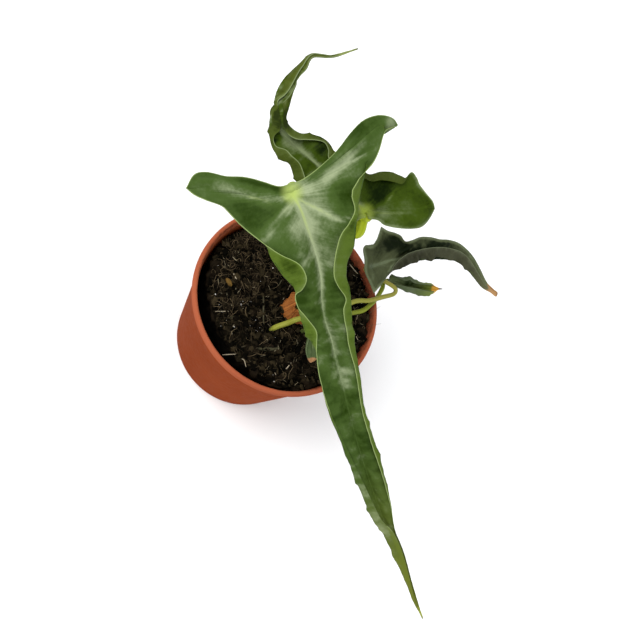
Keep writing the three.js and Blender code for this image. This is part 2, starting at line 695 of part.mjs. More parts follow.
const wallRadius = (z) => lerp(FOOT_RADIUS, WALL_RADIUS_AT_LIP, z / (POT_HEIGHT - LIP_DEPTH));

function potGeometry() {
  const lipBottom = POT_HEIGHT - LIP_DEPTH;
  const ringTop = lipBottom - RING_BELOW_LIP;
  const inner = (z) => wallRadius(z) - WALL;
  const profile = [
    [0, 0], [FOOT_RADIUS - 1, 0], [FOOT_RADIUS, 1],
    [wallRadius(ringTop - RING_HEIGHT) - RING_STEP, ringTop - RING_HEIGHT],
    [wallRadius(ringTop), ringTop],
    [wallRadius(lipBottom) - RING_STEP, lipBottom],
    [LIP_RADIUS - 0.3, lipBottom], [LIP_RADIUS, lipBottom + 0.5], [LIP_RADIUS, POT_HEIGHT - 1],
    [LIP_RADIUS - 0.4, POT_HEIGHT - 0.3], [LIP_RADIUS - 1, POT_HEIGHT],
    [LIP_RADIUS - LIP_WIDTH + 0.4, POT_HEIGHT - 0.1], [LIP_RADIUS - LIP_WIDTH, POT_HEIGHT - 0.6],
    [inner(lipBottom) - RING_STEP, lipBottom],
    [inner(ringTop) - RING_STEP, ringTop],
    [inner(ringTop - RING_HEIGHT) - RING_STEP, ringTop - RING_HEIGHT],
    [inner(FLOOR_THICKNESS), FLOOR_THICKNESS], [0, FLOOR_THICKNESS],
  ];
  let pot = solidOf(turned(profile, POT_SIDES));
  for (let i = 0; i < DRAIN_HOLES; i += 1) {
    const angle = 2 * Math.PI * (i + 0.5) / DRAIN_HOLES;
    const drill = new THREE.CylinderGeometry(DRAIN_HOLE_RADIUS, DRAIN_HOLE_RADIUS, 4 * FLOOR_THICKNESS, 24);
    drill.rotateX(Math.PI / 2);
    drill.translate(DRAIN_CIRCLE_RADIUS * Math.cos(angle), DRAIN_CIRCLE_RADIUS * Math.sin(angle), 0);
    pot = pot.subtract(solidOf(drill));
  }
  return geometryOf(pot);
}

// Soil: clods by a sum of waves, a crevice along one side of the wall where the peat has shrunk,
// and a bank heaped up to the lip on the other side

function clods(x, y) {
  return 0.8 * Math.sin(0.31 * x + 1.3) * Math.cos(0.27 * y - 0.4)
    + 0.5 * Math.sin(0.52 * x - 0.38 * y + 2.1)
    + 0.35 * Math.sin(0.61 * x + 0.47 * y) * Math.cos(0.7 * y + 0.9);
}

// How far a direction in radians is from one in degrees, in degrees
function degreesFrom(angle, middle) {
  const turn = THREE.MathUtils.radToDeg(angle) - middle;
  return Math.abs(THREE.MathUtils.euclideanModulo(turn + 180, 360) - 180);
}

function creviceAt(angle) {
  return THREE.MathUtils.smoothstep(1 - degreesFrom(angle, CREVICE_ANGLE) / CREVICE_SPREAD, 0, 1);
}

function bankAt(x, y) {
  const side = (BANK_SPREAD - degreesFrom(Math.atan2(y, x), BANK_ANGLE)) / BANK_FADE;
  const outward = THREE.MathUtils.smoothstep(Math.hypot(x, y), BANK_START, BANK_END);
  return BANK_HEIGHT * THREE.MathUtils.smoothstep(side, 0, 1) * outward;
}

function soilHeight(x, y) {
  const bank = bankAt(x, y);
  return SOIL_TOP + clods(x, y) * (1 - CLODS_LOST_PER_MM * bank) + bank;
}

function soilGeometry(standing) {
  const sides = 48;
  const rings = [0.12, 0.25, 0.38, 0.51, 0.64, 0.77, 0.89, 1];
  const lift = FLOOR_THICKNESS + GAP;
  const clear = WALL + RING_STEP + GAP;
  const positions = [0, 0, soilHeight(0, 0)];
  const indices = [];
  const addRing = (radiusAt, heightAt) => {
    for (let k = 0; k < sides; k += 1) {
      const angle = 2 * Math.PI * k / sides;
      const radius = radiusAt(angle);
      const [x, y] = [radius * Math.cos(angle), radius * Math.sin(angle)];
      positions.push(x, y, heightAt(angle, x, y));
    }
  };
  const wallAt = (z) => wallRadius(z) - clear;
  for (const share of rings) {
    addRing(
      (angle) => share * (wallAt(SOIL_TOP - 1) - 0.5 - CREVICE_WIDTH * creviceAt(angle)),
      (angle, x, y) => soilHeight(x, y) - (share === 1 ? SOIL_RIM_DROP : 0),
    );
  }
  const creviceFloor = SOIL_TOP - CREVICE_DEPTH;
  addRing(
    (angle) => wallAt(creviceFloor + 4) - 0.6 * CREVICE_WIDTH * creviceAt(angle),
    () => creviceFloor + 4,
  );
  addRing(() => wallAt(creviceFloor), () => creviceFloor);
  addRing(() => wallAt(lift), () => lift);
  const ringCount = rings.length + 3;
  const corner = (ring, k) => 1 + ring * sides + (k % sides);
  for (let k = 0; k < sides; k += 1) indices.push(0, corner(0, k), corner(0, k + 1));
  for (let ring = 0; ring < ringCount - 1; ring += 1) {
    for (let k = 0; k < sides; k += 1) {
      indices.push(corner(ring, k), corner(ring + 1, k), corner(ring + 1, k + 1));
      indices.push(corner(ring, k), corner(ring + 1, k + 1), corner(ring, k + 1));
    }
  }
  positions.push(0, 0, lift);
  const bottom = positions.length / 3 - 1;
  for (let k = 0; k < sides; k += 1) {
    indices.push(bottom, corner(ringCount - 1, k + 1), corner(ringCount - 1, k));
  }
  const geometry = new THREE.BufferGeometry();
  geometry.setAttribute('position', new THREE.Float32BufferAttribute(positions, 3));
  geometry.setIndex(indices);
  return geometryOf(standing.reduce((soil, hole) => soil.subtract(hole), solidOf(geometry)));
}

// Corm: a short swollen stem, wrapped in the papery sheath of old stalks, whose rim stands up
// in two pointed flaps round the stalks

function flapRise(angle) {
  return SHEATH_FLAPS.reduce((rise, flap) => {
    const away = angle - THREE.MathUtils.degToRad(flap.angle);
    return rise + flap.rise * Math.max(0, Math.cos(away)) ** 3;
  }, 0);
}

function cormGeometry(grow, standing) {
  const sides = 28;
  const height = CORM_TOP - CORM_BOTTOM;
  const body = [[0.4, 0], [0.8, 0.18], [1, 0.45], [0.97, 0.62], [0.84, 0.78], [0.7, 0.9]];
  const rimRadius = 0.62 * CORM_RADIUS;
  const folds = (angle, share) => 0.35 * share * Math.cos(7 * angle + 5 * share);
  const rings = body.map(([r, h]) => (angle) => [
    r * CORM_RADIUS + grow + (grow > 0 ? 0.35 : folds(angle, h)),
    CORM_BOTTOM + h * height - (h < 0.5 ? grow : 0),
  ]);
  rings.push(
    (angle) => [rimRadius + grow, CORM_TOP + flapRise(angle) + grow],
    (angle) => [rimRadius - SHEATH_WALL, CORM_TOP + flapRise(angle) - 0.4],
    () => [rimRadius - SHEATH_WALL, CORM_TOP - 2],
  );
  const positions = [];
  for (const ring of rings) {
    for (let k = 0; k < sides; k += 1) {
      const angle = 2 * Math.PI * k / sides;
      const [radius, z] = ring(angle);
      positions.push(radius * Math.cos(angle), radius * Math.sin(angle), z);
    }
  }
  const bottom = rings.length * sides;
  const top = bottom + 1;
  positions.push(0, 0, CORM_BOTTOM - grow, 0, 0, CORM_TOP - 2);
  const corner = (ring, k) => ring * sides + (k % sides);
  const indices = [];
  for (let k = 0; k < sides; k += 1) {
    indices.push(bottom, corner(0, k + 1), corner(0, k));
    indices.push(top, corner(rings.length - 1, k), corner(rings.length - 1, k + 1));
    for (let ring = 0; ring < rings.length - 1; ring += 1) {
      indices.push(corner(ring, k), corner(ring, k + 1), corner(ring + 1, k + 1));
      indices.push(corner(ring, k), corner(ring + 1, k + 1), corner(ring + 1, k));
    }
  }
  const geometry = new THREE.BufferGeometry();
  geometry.setAttribute('position', new THREE.Float32BufferAttribute(positions, 3));
  geometry.setIndex(indices);
  geometry.translate(...CORM_PLACE, 0);
  return geometryOf(standing.reduce((corm, hole) => corm.subtract(hole), solidOf(geometry)));
}

// The object

const material = (colour, roughness) => new THREE.MeshStandardMaterial({
  color: colour,
  roughness,
  metalness: 0,
});

const plant = new THREE.Group();

function addNode(name, geometry, colour, roughness) {
  const mesh = new THREE.Mesh(geometry, material(colour, roughness));
  mesh.name = name;
  plant.add(mesh);
}

const holes = [];
const bladeColours = { front: 0x3f5c24, back: 0x2b4413, side: 0x4d5a3a, curled: 0x44583a, young: 0x54683c };

for (const [name, stalk] of Object.entries(stalks)) {
  const blade = bladeGeometry(stalk.blade);
  const curve = stalkCurve(stalk, blade.userData.underside);
  const rings = Math.max(8, Math.round(curve.getLength() / 4));
  addNode(`${name}_leaf_blade`, blade, bladeColours[name], 0.45);
  addNode(`${name}_leaf_stalk`, tube(curve, stalk.foot, stalk.top, rings), 0x939a3c, 0.5);
  const deeper = curve.getPointAt(0).addScaledVector(curve.getTangentAt(0), -GAP);
  const emerged = steps(60).find((f) => curve.getPointAt(f).z > stalk.ground + HOLE_ABOVE_GROUND);
  const buried = steps(12).map((f) => curve.getPointAt(f * emerged));
  const footLine = new THREE.CatmullRomCurve3([deeper, ...buried]);
  holes.push(solidOf(tube(footLine, stalk.foot + GAP, stalk.foot + GAP, rings)));
}

addNode('corm', cormGeometry(0, holes), 0xa0542a, 0.7);
addNode('soil', soilGeometry([...holes, solidOf(cormGeometry(GAP, []))]), 0x2a211a, 0.95);
addNode('pot', potGeometry(), 0xb0603f, 0.4);

export default plant;
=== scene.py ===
# Potted alocasia: the finished look of a small plant in a terracotta-coloured nursery pot.
# Sizes are in millimetres, and turned to metres where a mesh is made.

import math
import random

import bpy
import numpy as np
from mathutils import Matrix, Vector, kdtree, noise


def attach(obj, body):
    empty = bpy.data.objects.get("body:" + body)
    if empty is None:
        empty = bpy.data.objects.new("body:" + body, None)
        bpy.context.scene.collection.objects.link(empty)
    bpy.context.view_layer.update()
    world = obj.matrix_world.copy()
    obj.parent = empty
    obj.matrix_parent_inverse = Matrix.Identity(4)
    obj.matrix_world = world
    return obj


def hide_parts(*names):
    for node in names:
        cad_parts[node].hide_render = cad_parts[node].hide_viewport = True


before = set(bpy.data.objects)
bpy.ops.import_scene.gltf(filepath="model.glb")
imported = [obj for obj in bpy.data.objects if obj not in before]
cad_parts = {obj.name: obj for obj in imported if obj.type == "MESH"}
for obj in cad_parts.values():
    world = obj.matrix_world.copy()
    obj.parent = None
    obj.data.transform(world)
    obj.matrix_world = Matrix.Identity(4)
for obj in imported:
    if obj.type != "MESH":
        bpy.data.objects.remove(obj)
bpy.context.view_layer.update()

MM = 0.001

# Pot

POT_HEIGHT = 70
LIP_RADIUS = 42.5
LIP_DEPTH = 3.2
LIP_WIDTH = 2
LIP_EDGE_IN = 0.3
LIP_EDGE_UP = 0.4
FOOT_RADIUS = 32
FOOT_EDGE = 1
WALL = 1.2
WALL_RADIUS_AT_LIP = 41.6
RING_BELOW_LIP = 4.2
RING_HEIGHT = 1.4
RING_STEP = 0.5
RING_EDGE = 0.4
FLOOR_THICKNESS = 1.5
FLOOR_CORNER_HEIGHT = 1
FLOOR_CORNER_WIDTH = 0.8
DRAIN_HOLES = 8
DRAIN_HOLE_RADIUS = 4
DRAIN_CIRCLE_RADIUS = 22
POT_SIDES = 168

# What the pot holds

GAP = 0.3
SOIL_TOP = 63
CREVICE_WIDTH = 5.8
CREVICE_DEPTH = 14
CREVICE_ANGLE = 250
CREVICE_SPREAD = 80
BANK_HEIGHT = 5
BANK_ANGLE = 38
BANK_SPREAD = 85
BANK_FADE = 50
BANK_START = 20
BANK_END = 37
BANK_REACH = 1.1
CORM_PLACE = (5, 4)
CORM_RADIUS = 8
CORM_BOTTOM = 50
CORM_TOP = 70
SHEATH_WALL = 1.2
CAD_BLADE_THICKNESS = 0.7

# Camera: it looks down on the plant from in front, turned about its own axis

LENS = 60.02
CAMERA_PLACE = (0, -207.9, 484.2)
CAMERA_AIM = (15.70, 5.27, 70)
CAMERA_ROLL = 53.12

# Blades

# A blade is given in its own frame: along its axis from the stalk to the tip, across, and up
# from its face. Each half is a fan of side veins, one row for each: how far along the midrib it
# starts, the point where the blade turns over, and the point of its edge. The first row is the
# middle vein of the basal lobe and has a point of its own before these two. The edge of the
# notch runs from behind the stalk to the tip of the lobe.

FRONT_BLADE = {
    "origin": (-29.5, -5, 140), "heading": -11.5, "droop": 27, "bank": 18,
    "midrib": [
        (0, 0, 0), (7, 1, 1.5), (15, 1, 3), (23.5, 1, 4), (32.5, 0, 5.5), (41, -2.5, 6.5),
        (49.5, -4, 7.5), (57, -4, 8), (67, -5, 9), (76, -5.5, 9.5), (89, -6.5, 10), (102, -7, 10),
        (116.5, -7, 9.5), (131.5, -6.5, 9), (146, -5.5, 8), (161, -3.5, 6.5), (177, -3, 4),
        (199.5, -1, 0),
    ],
    "near": [
        (0, (-2, -11.5, 0.5), (-9, -22, -1.5), (-13.5, -36, -7.5)),
        (0, (-8, -24, -3), (-10.5, -34, -4.5)), (0, (-5, -22, -1), (-7.5, -30.5, -1.5)),
        (0, (-2, -18.5, 0), (-3.5, -26, 0)), (1, (4, -17, 2), (4.5, -22.5, 3)),
        (3, (11.5, -16.5, 5), (11.5, -18, 6)), (7, (18.5, -16.5, 7.5), (18, -13, 9.5)),
        (10, (24, -15.5, 8.5), (23, -8, 13)), (16, (29, -13.5, 9.5), (29, -7, 13.5)),
        (23, (31.5, -12.5, 10), (33, -9.5, 12)), (30, (34.5, -12, 9.5), (35, -12.5, 10)),
        (37, (38.5, -12.5, 10), (39, -13, 10.5)), (44, (43, -13.5, 10.5), (43.5, -11.5, 12)),
        (53, (49, -13.5, 10.5), (50, -9.5, 13)), (60, (54.5, -12.5, 10.5), (55, -10.5, 12)),
        (66, (59.5, -11.5, 11), (60, -12, 11.5)), (72, (68, -13, 11), (68, -13.5, 11.5)),
        (89, (83, -14.5, 11.5), (83, -14, 12)), (104, (97.5, -13.5, 12), (97.5, -12.5, 12.5)),
        (118, (112, -13, 12), (111.5, -11, 13.5)), (133, (127.5, -11.5, 10.5), (127, -9, 12.5)),
        (142, (137.5, -10.5, 9.5), (137.5, -7.5, 11.5)), (151, (146, -8, 8), (147, -4, 11)),
        (162, (160, -6, 6), (160, -2.5, 8)), (179, (177.5, -4, 3.5), (177, -2.5, 5)),
        (191, (189, -3, 2), (189, -2.5, 2.5)), (202, (199.5, -1, 0), (199.5, -1, 0)),
    ],
    "near_notch": [
        (-3.5, 0.5, 0.5), (-4, -4, 0), (-7.5, -9, -1.5), (-11, -14.5, -2.5), (-13.5, -21, -4),
        (-17, -27, -5.5), (-17.5, -31.5, -6.5), (-13.5, -36, -7.5),
    ],
    "far": [
        (0, (-1, 10.5, 1), (-5.5, 24, 1.5), (-9, 48.5, -5)), (0, (-12, 41, -1), (-9.5, 41.5, 0)),
        (0, (-6.5, 37, 0), (-4, 36.5, 2)), (0, (-1, 31.5, 2), (0, 32, 3)),
        (1, (3.5, 28, 3.5), (3, 24, 6)), (2, (8.5, 24, 5), (6.5, 20, 7.5)),
        (5, (13.5, 21, 6.5), (12.5, 19.5, 7.5)), (8, (18.5, 18.5, 8), (16, 15.5, 9.5)),
        (13, (23, 16.5, 8.5), (18.5, 10.5, 12)), (19, (27, 14, 9), (23, 7, 13)),
        (25, (30.5, 10.5, 9.5), (28, 4.5, 13)), (32, (35, 8.5, 10.5), (32.5, 3, 13.5)),
        (38, (39.5, 8.5, 10.5), (36.5, 3.5, 13)), (43, (44, 7.5, 11), (42.5, 5, 12.5)),
        (49, (49, 6, 11.5), (46.5, 2.5, 13.5)), (55, (56, 4.5, 11.5), (54, 1.5, 13.5)),
        (60, (62, 3.5, 11.5), (61, 0.5, 13.5)), (72, (73, 2, 12.5), (71.5, 0, 14)),
        (89, (89, -0.5, 12.5), (87.5, -2, 13.5)), (104, (103.5, -0.5, 12.5), (102.5, -2.5, 14)),
        (118, (119, -0.5, 11.5), (118, -2, 13)), (133, (133, -1.5, 10.5), (133, -2, 11)),
        (142, (141, -2.5, 9), (141.5, -2.5, 9.5)), (151, (149, -3, 7), (149, -2.5, 7.5)),
        (162, (160.5, -2, 5.5), (161, -1.5, 6)), (179, (178.5, -2, 3), (178.5, -1.5, 3.5)),
        (202, (199.5, -1, 0), (199.5, -1, 0)),
    ],
    "far_notch": [
        (-3.5, 0.5, 0.5), (-3.5, 5.5, 0.5), (-5.5, 13, 0), (-9, 21.5, -0.5), (-13.5, 29, -1.5),
        (-16, 35.5, -2.5), (-15.5, 42, -3.5), (-12.5, 47, -4.5), (-9, 48.5, -5),
    ],
}

BACK_BLADE = {
    "origin": (-6.5, 23, 126), "heading": 172, "droop": 4, "bank": -10,
    "midrib": [
        (0, 0, 0), (7, 2, 1.5), (15, 4, 3), (24, 6, 4), (32.5, 8.5, 5), (40, 10.5, 5.5),
        (47, 11.5, 6), (52.5, 9.5, 5), (55, 5.5, 4), (58.5, -1, 2), (63, -9, -1), (66.5, -18, -4.5),
        (69, -25.5, -7.5), (65.5, -34, -11), (64.5, -41, -13), (64, -48, -15),
    ],
    "near": [
        (0, (0.5, 4.5, 0.5), (0, 10, -4), (-1.5, 15.5, -12)), (0, (2.5, 10.5, -1.5), (2.5, 14.5, -6)),
        (0, (4.5, 11, 0), (5.5, 15, -2)), (8.5, (9, 14, 2.5), (9.5, 15.5, 3)),
        (16, (16, 16.5, 5), (16.5, 15.5, 6.5)), (24, (22.5, 18.5, 7), (21, 16, 9)),
        (29.5, (27.5, 18, 7.5), (25, 15, 10)), (33.5, (31, 17.5, 8), (28.5, 14.5, 10.5)),
        (37, (33.5, 19, 8), (32.5, 15.5, 11)), (40.5, (38, 19.5, 8.5), (35.5, 16, 11)),
        (44, (41.5, 18.5, 8), (38.5, 18, 10)), (47, (44, 17.5, 8.5), (41.5, 17.5, 10)),
        (50, (46.5, 16, 8), (43, 15.5, 10)), (53, (49.5, 13.5, 7), (43.5, 13, 10)),
        (56.5, (52, 10.5, 6), (47, 10, 9)), (60, (54.5, 7, 5), (51.5, 7, 6.5)),
        (63.5, (57, 5, 3.5), (55.5, 4.5, 5)), (67.5, (60, 1.5, 2), (56.5, 0, 4.5)),
        (72.5, (63, -3.5, 0.5), (58.5, -4.5, 3)), (79, (65, -8.5, -1.5), (62, -10.5, 1)),
        (86.5, (67.5, -16.5, -4.5), (65.5, -17, -3)), (96, (69.9, -25.7, -8), (69, -25.5, -7)),
        (105.5, (66, -34.1, -11), (65.9, -34.1, -10.5)), (120.5, (64, -48, -15), (64, -48, -15)),
    ],
    "near_notch": [
        (-2, 1, 0), (-1, 3.5, -0.5), (-1.5, 7, -2.5), (-2.5, 11.5, -7), (-1.5, 15.5, -12),
    ],
    "far": [
        (0, (-2.5, -4, 1.5), (-8.5, -14, 0.5), (-13.5, -27.5, -4)),
        (0, (-11, -26, -3), (-11, -27.5, -1.5)), (0, (-6.5, -24.5, -2), (-6.5, -26.5, 0)),
        (0, (-2.5, -23.5, -1), (-2.5, -26, 1)), (0, (0, -23, 0), (0, -26, 2.5)),
        (0, (2, -22, 1), (3, -25, 3.5)), (0, (3.5, -21.5, 2), (1, -19, 4)),
        (0, (5.5, -20, 2.5), (2.5, -16.5, 4.5)), (1.5, (8, -17.5, 3.5), (4.5, -14, 5.5)),
        (4, (10, -14, 4), (6.5, -10.5, 6.5)), (7.5, (10.5, -11, 4.5), (8, -7, 7)),
        (11, (12, -8, 5), (10.5, -5.5, 7)), (15.5, (16.5, -5, 6), (15.5, -3, 7.5)),
        (20, (21.5, -2.5, 6.5), (20.5, -0.5, 8)), (25.5, (25, -1.5, 7), (24, 3, 9.5)),
        (28.5, (28, -2, 7.5), (27, 1, 9)), (32, (31, -1.5, 8), (30, 0.5, 9.5)),
        (35, (34.5, 0, 7.5), (32.5, 2.5, 9.5)), (38.5, (37, 3.5, 8), (35, 6, 9.5)),
        (42, (39.5, 6, 8), (37, 9.5, 10)), (45.5, (43.5, 7.5, 8), (40, 11, 10)),
        (49, (46, 7.5, 7.5), (43, 11, 10)), (53, (48.5, 5.5, 7), (46.5, 9, 9)),
        (58, (51, 2, 5), (50.5, 5.5, 7)), (62.5, (53.5, -1, 3.5), (53.5, 3.5, 6)),
        (66.5, (56.5, -4.5, 2.5), (55, -0.5, 4.5)), (71.5, (59, -8, 0.5), (57.5, -5.5, 2.5)),
        (77, (61.5, -11, -1), (61, -10.5, -0.5)), (86.5, (64, -18, -4), (64, -17.5, -3.5)),
        (96, (68, -25.3, -8), (68.2, -25, -7.5)), (105.5, (65, -33.8, -11), (65.1, -33.8, -10.5)),
        (120.5, (64, -48, -15), (64, -48, -15)),
    ],
    "far_notch": [
        (-3, 0.5, 0), (-5.5, -2.5, 0), (-8.5, -3.5, 0), (-12, -7.5, -1), (-15.5, -13, -2),
        (-17, -18, -3), (-15.5, -23.5, -3.5), (-13.5, -27.5, -4),
    ],
}

SIDE_BLADE = {
    "origin": (12.5, 34, 84), "heading": 38, "droop": 14, "bank": 0,
    "midrib": [
        (0, 0, 0), (4, 2.5, 1.5), (8, 5, 3), (12.5, 7.5, 4), (18, 10, 5.5), (26, 14, 6.5),
        (33.5, 17, 7), (41.5, 19, 7), (49, 18, 6), (56.5, 15, 5), (64.5, 12, 2.5), (71.5, 12.5, 0.5),
        (75.5, 11.5, 0),
    ],
    "near": [
        (0, (2, -3.5, 1), (4, -7, 0.5), (4, -11, -1)), (0, (5.5, -6, -0.5), (7, -6, 0)),
        (2, (9.5, -1, 0.5), (9.5, 0.5, 2)), (5.5, (11.5, 2, 2), (10, 3.5, 4)),
        (9, (15.5, 4.5, 3.5), (11, 6, 6)), (14.5, (19.5, 7.5, 4.5), (13, 8.5, 8)),
        (21, (23.5, 10, 5.5), (16.5, 11, 9)), (28.5, (28, 11.5, 6.5), (22, 14, 10)),
        (35.5, (34, 13.5, 7), (29, 17, 10.5)), (42, (40, 15.5, 6.5), (36, 19, 10)),
        (48, (45.5, 15.5, 6.5), (42.5, 19.5, 10)), (54.5, (50.5, 14.5, 5.5), (49, 18, 9)),
        (62, (56, 12.5, 4.5), (56.5, 14.5, 7)), (71.5, (64, 11, 2), (64.5, 12, 4)),
        (78.5, (71, 11.2, 0.5), (71.5, 11.6, 1.5)), (82, (74.6, 10.6, 0), (74.8, 10.7, 0.6)),
        (83, (75.5, 11.5, 0), (75.5, 11.5, 0)),
    ],
    "near_notch": [
        (-3, -1, -0.5), (-2, -3, -1), (0, -5, -1.5), (2, -7.5, -1.5), (4, -11, -1),
    ],
    "far": [
        (0, (0.5, 5.5, 0.5), (2.5, 13, 0.5), (3.5, 21, -0.5)), (0, (5, 16, 0), (5.5, 19, 2)),
        (2, (8.5, 15.5, 2), (8, 18, 4.5)), (5.5, (10.5, 15, 4), (10, 17, 6)),
        (9, (14, 14, 5.5), (12.5, 15, 6.5)), (14.5, (16, 15, 7), (15, 16, 8)),
        (21, (19.5, 17, 8.5), (18, 18, 10)), (28.5, (24.5, 18.5, 9.5), (23, 19.5, 11)),
        (35.5, (30, 19.5, 10), (28.5, 20.5, 11)), (42, (36, 21.5, 9.5), (34.5, 22.5, 10.5)),
        (48, (43, 22.5, 8.5), (42, 23.5, 9.5)), (54.5, (51.5, 21.5, 6.5), (51, 22, 7.5)),
        (62, (58, 17.5, 5), (58, 18, 6)), (71.5, (65.5, 14, 2.5), (65.5, 14.5, 3)),
        (78.5, (71.5, 13.5, 0.5), (71.5, 13.5, 1)), (82, (75.2, 12.7, 0), (75.3, 12.7, 0.5)),
        (83, (75.5, 11.5, 0), (75.5, 11.5, 0)),
    ],
    "far_notch": [
        (-3, -1, -0.5), (-3.5, 2.5, -0.5), (-4.5, 7, -1), (-4, 9, 0), (-1.5, 9, 0.5), (1.5, 13.5, 0),
        (3.5, 21, -0.5),
    ],
}

CURLED_BLADE = {
    "origin": (22.5, 41, 76), "heading": 44, "droop": 8, "bank": 0,
    "midrib": [
        (0, 0, 0), (3.5, -0.5, 0.5), (8, -1, 0.5), (12.5, -1, 0.5), (18, -0.5, 0.5), (23, 0, 0.5),
        (27, 1, 0.5), (30, 2, 0),
    ],
    "near": [
        (0, (0.5, -1.5, 0.5), (1.5, -1.5, 1.5)), (4, (4.5, -3, 1.5), (4.5, -2, 3)),
        (8.5, (9, -4, 2), (8.5, -2.5, 4)), (13, (14, -4.5, 2), (12.5, -2.5, 4.5)),
        (18.5, (19.5, -4, 2), (17.5, -2.5, 4.5)), (23.5, (23.5, -2, 1.5), (22.5, -1.5, 3)),
        (27, (26.5, 0.5, 1), (26.5, 0.5, 1.5)), (31, (30, 2, 0), (30, 2, 0)),
    ],
    "far": [
        (0, (0.5, 2, 0.5), (1, 3, 1.5)), (4, (3.5, 2, 2), (3.5, 1, 3.5)), (8.5, (7, 2, 3), (6.5, 0, 4.5)),
        (11, (9.5, 3, 3.5), (8.5, 0.5, 5)), (13, (12, 2, 3.5), (11, -0.5, 5)),
        (18.5, (17, 1.5, 3), (16, 0, 4.5)), (23.5, (22, 2.5, 2), (21.5, 1, 3.5)),
        (27, (26, 1.5, 1), (26, 1.5, 1.5)), (31, (30, 2, 0), (30, 2, 0)),
    ],
}

YOUNG_BLADE = {
    "origin": (17.5, -4.5, 76), "heading": -39, "droop": 20, "bank": 0,
    "midrib": [(0, 0, 0), (3, 0, 0.5), (6.5, 0, 0.5), (10, 0, 0), (13, 0, -1)],
    "near": [
        (0, (0, -1.5, 0.5), (0, -2, 1.5)), (3, (3, -3, 1.5), (3, -3, 3)),
        (7, (7, -3.5, 1.5), (7, -3.5, 2.5)), (11, (11, -2, 0.5), (11, -2, 1)),
        (13.5, (13, 0, -1), (13, 0, -1)),
    ],
    "far": [
        (0, (0, 1.5, 0.5), (0, 2, 1.5)), (3, (3, 3, 1.5), (3, 3, 3)), (7, (7, 3.5, 1.5), (7, 3, 3)),
        (11, (11, 2, 0.5), (11, 2, 1)), (13.5, (13, 0, -1), (13, 0, -1)),
    ],
}

# Stalks: the radii of foot and top, how much the top swells, and the points passed on the way
# up. The last points come from the blade.

STALKS = {
    "front": (2.3, 1.8, 0.12, (
        (5, 3, 58), (4.5, 4, 80), (-3, 6.5, 98), (-16, 6.5, 116), (-27, 4, 129), (-31.5, 1, 134),
    )),
    "back": (2, 2.6, 0.55, (
        (3, 8.5, 58), (3, 10.5, 80), (0.5, 15, 100), (-4, 18.5, 113), (-2.6, 18.1, 121),
    )),
    "side": (1.25, 0.9, 0.12, (
        (5, -12, 56), (5, -11.9, 60), (5.5, -10.3, 64.2), (7.5, -6.3, 67.8), (9.4, -2.6, 71.6),
        (16, 10, 72.5), (19.5, 22, 74), (23.5, 27.5, 75), (26.5, 33.5, 76.5), (28.5, 37.5, 78),
        (27.5, 39, 79.5), (24.5, 38, 80.5), (19.5, 36, 80), (14.5, 34, 79.5),
    )),
    "curled": (1.1, 1, 0.12, (
        (17, 12, 56), (18, 12.5, 63), (19.5, 14, 67.5), (22, 18, 70.5), (25, 23.5, 71.5),
        (25.5, 29, 71.5), (25, 34, 71.5), (23.5, 38, 73),
    )),
    "young": (1, 0.9, 0.12, ((14, -1, 56), (14.5, -1.5, 64), (15.5, -2.5, 71))),
}


# Curves and rings

def past_ends(points):
    """The points with one more past each end, in a straight line."""
    p = np.asarray(points, float)
    return np.vstack([2 * p[0] - p[1], p, 2 * p[-1] - p[-2]])


def spline(points, x):
    """Smooth curve through a list of points, one unit of x for each point."""
    last = len(points) - 1
    p = past_ends(points)
    x = np.clip(np.atleast_1d(np.asarray(x, float)), 0, last)
    i = np.minimum(x.astype(int), last - 1)
    f = (x - i)[:, None]
    a, b, c, d = p[i], p[i + 1], p[i + 2], p[i + 3]
    square = 2 * a - 5 * b + 4 * c - d
    cube = 3 * b - a - 3 * c + d
    return 0.5 * (2 * b + (c - a) * f + square * f ** 2 + cube * f ** 3)


def lengths_along(points, power=1.0, least=0.0):
    """Running length at each point of rows of points."""
    spans = np.maximum(np.linalg.norm(np.diff(points, axis=-2), axis=-1), least) ** power
    start = np.zeros(spans.shape[:-1] + (1,))
    return np.concatenate([start, np.cumsum(spans, axis=-1)], axis=-1)


def ribs(control, outs):
    """Smooth curves through rows of a few points that may lie close together, at shares of their length."""
    before = 2 * control[:, :1] - control[:, 1:2]
    after = 2 * control[:, -1:] - control[:, -2:-1]
    p = np.concatenate([before, control, after], axis=1)
    lengths = lengths_along(control)
    knots = lengths_along(p, 0.5, 1e-3)
    result = np.empty((len(control), len(outs), 3))
    for row, total in enumerate(lengths[:, -1]):
        if total < 1e-6:
            result[row] = control[row, 0]
            continue
        at = np.asarray(outs, float) * total
        i = np.clip(np.searchsorted(lengths[row], at, side="right") - 1, 0, control.shape[1] - 2)
        f = (at - lengths[row, i]) / np.maximum(lengths[row, i + 1] - lengths[row, i], 1e-9)
        k = [knots[row, i + step][:, None] for step in range(4)]
        q = [p[row, i + step] for step in range(4)]
        x = k[1] + f[:, None] * (k[2] - k[1])

        def between(a, b, start, end):
            return a + (b - a) * (x - start) / (end - start)

        a1, a2, a3 = (between(q[n], q[n + 1], k[n], k[n + 1]) for n in range(3))
        result[row] = between(between(a1, a2, k[0], k[2]), between(a2, a3, k[1], k[3]), k[1], k[2])
    return result


def at_lengths(curve, lengths, wanted):
    """Points of a line of points at the wanted lengths along it."""
    return np.stack([np.interp(wanted, lengths, curve[:, axis]) for axis in range(3)], axis=1)


def evenly(points, count):
    """So many points at even steps of length along a smooth curve."""
    fine = spline(points, np.linspace(0, len(points) - 1, 40 * len(points)))
    lengths = lengths_along(fine)
    return at_lengths(fine, lengths, np.linspace(0, lengths[-1], count))


def smooth_step(x):
    """From 0 to 1 with soft ends, while x does the same."""
    x = np.clip(x, 0, 1)
    return x * x * (3 - 2 * x)


def around(sides):
    """Angles of a full turn in even steps."""
    return np.linspace(0, 2 * math.pi, sides, endpoint=False)


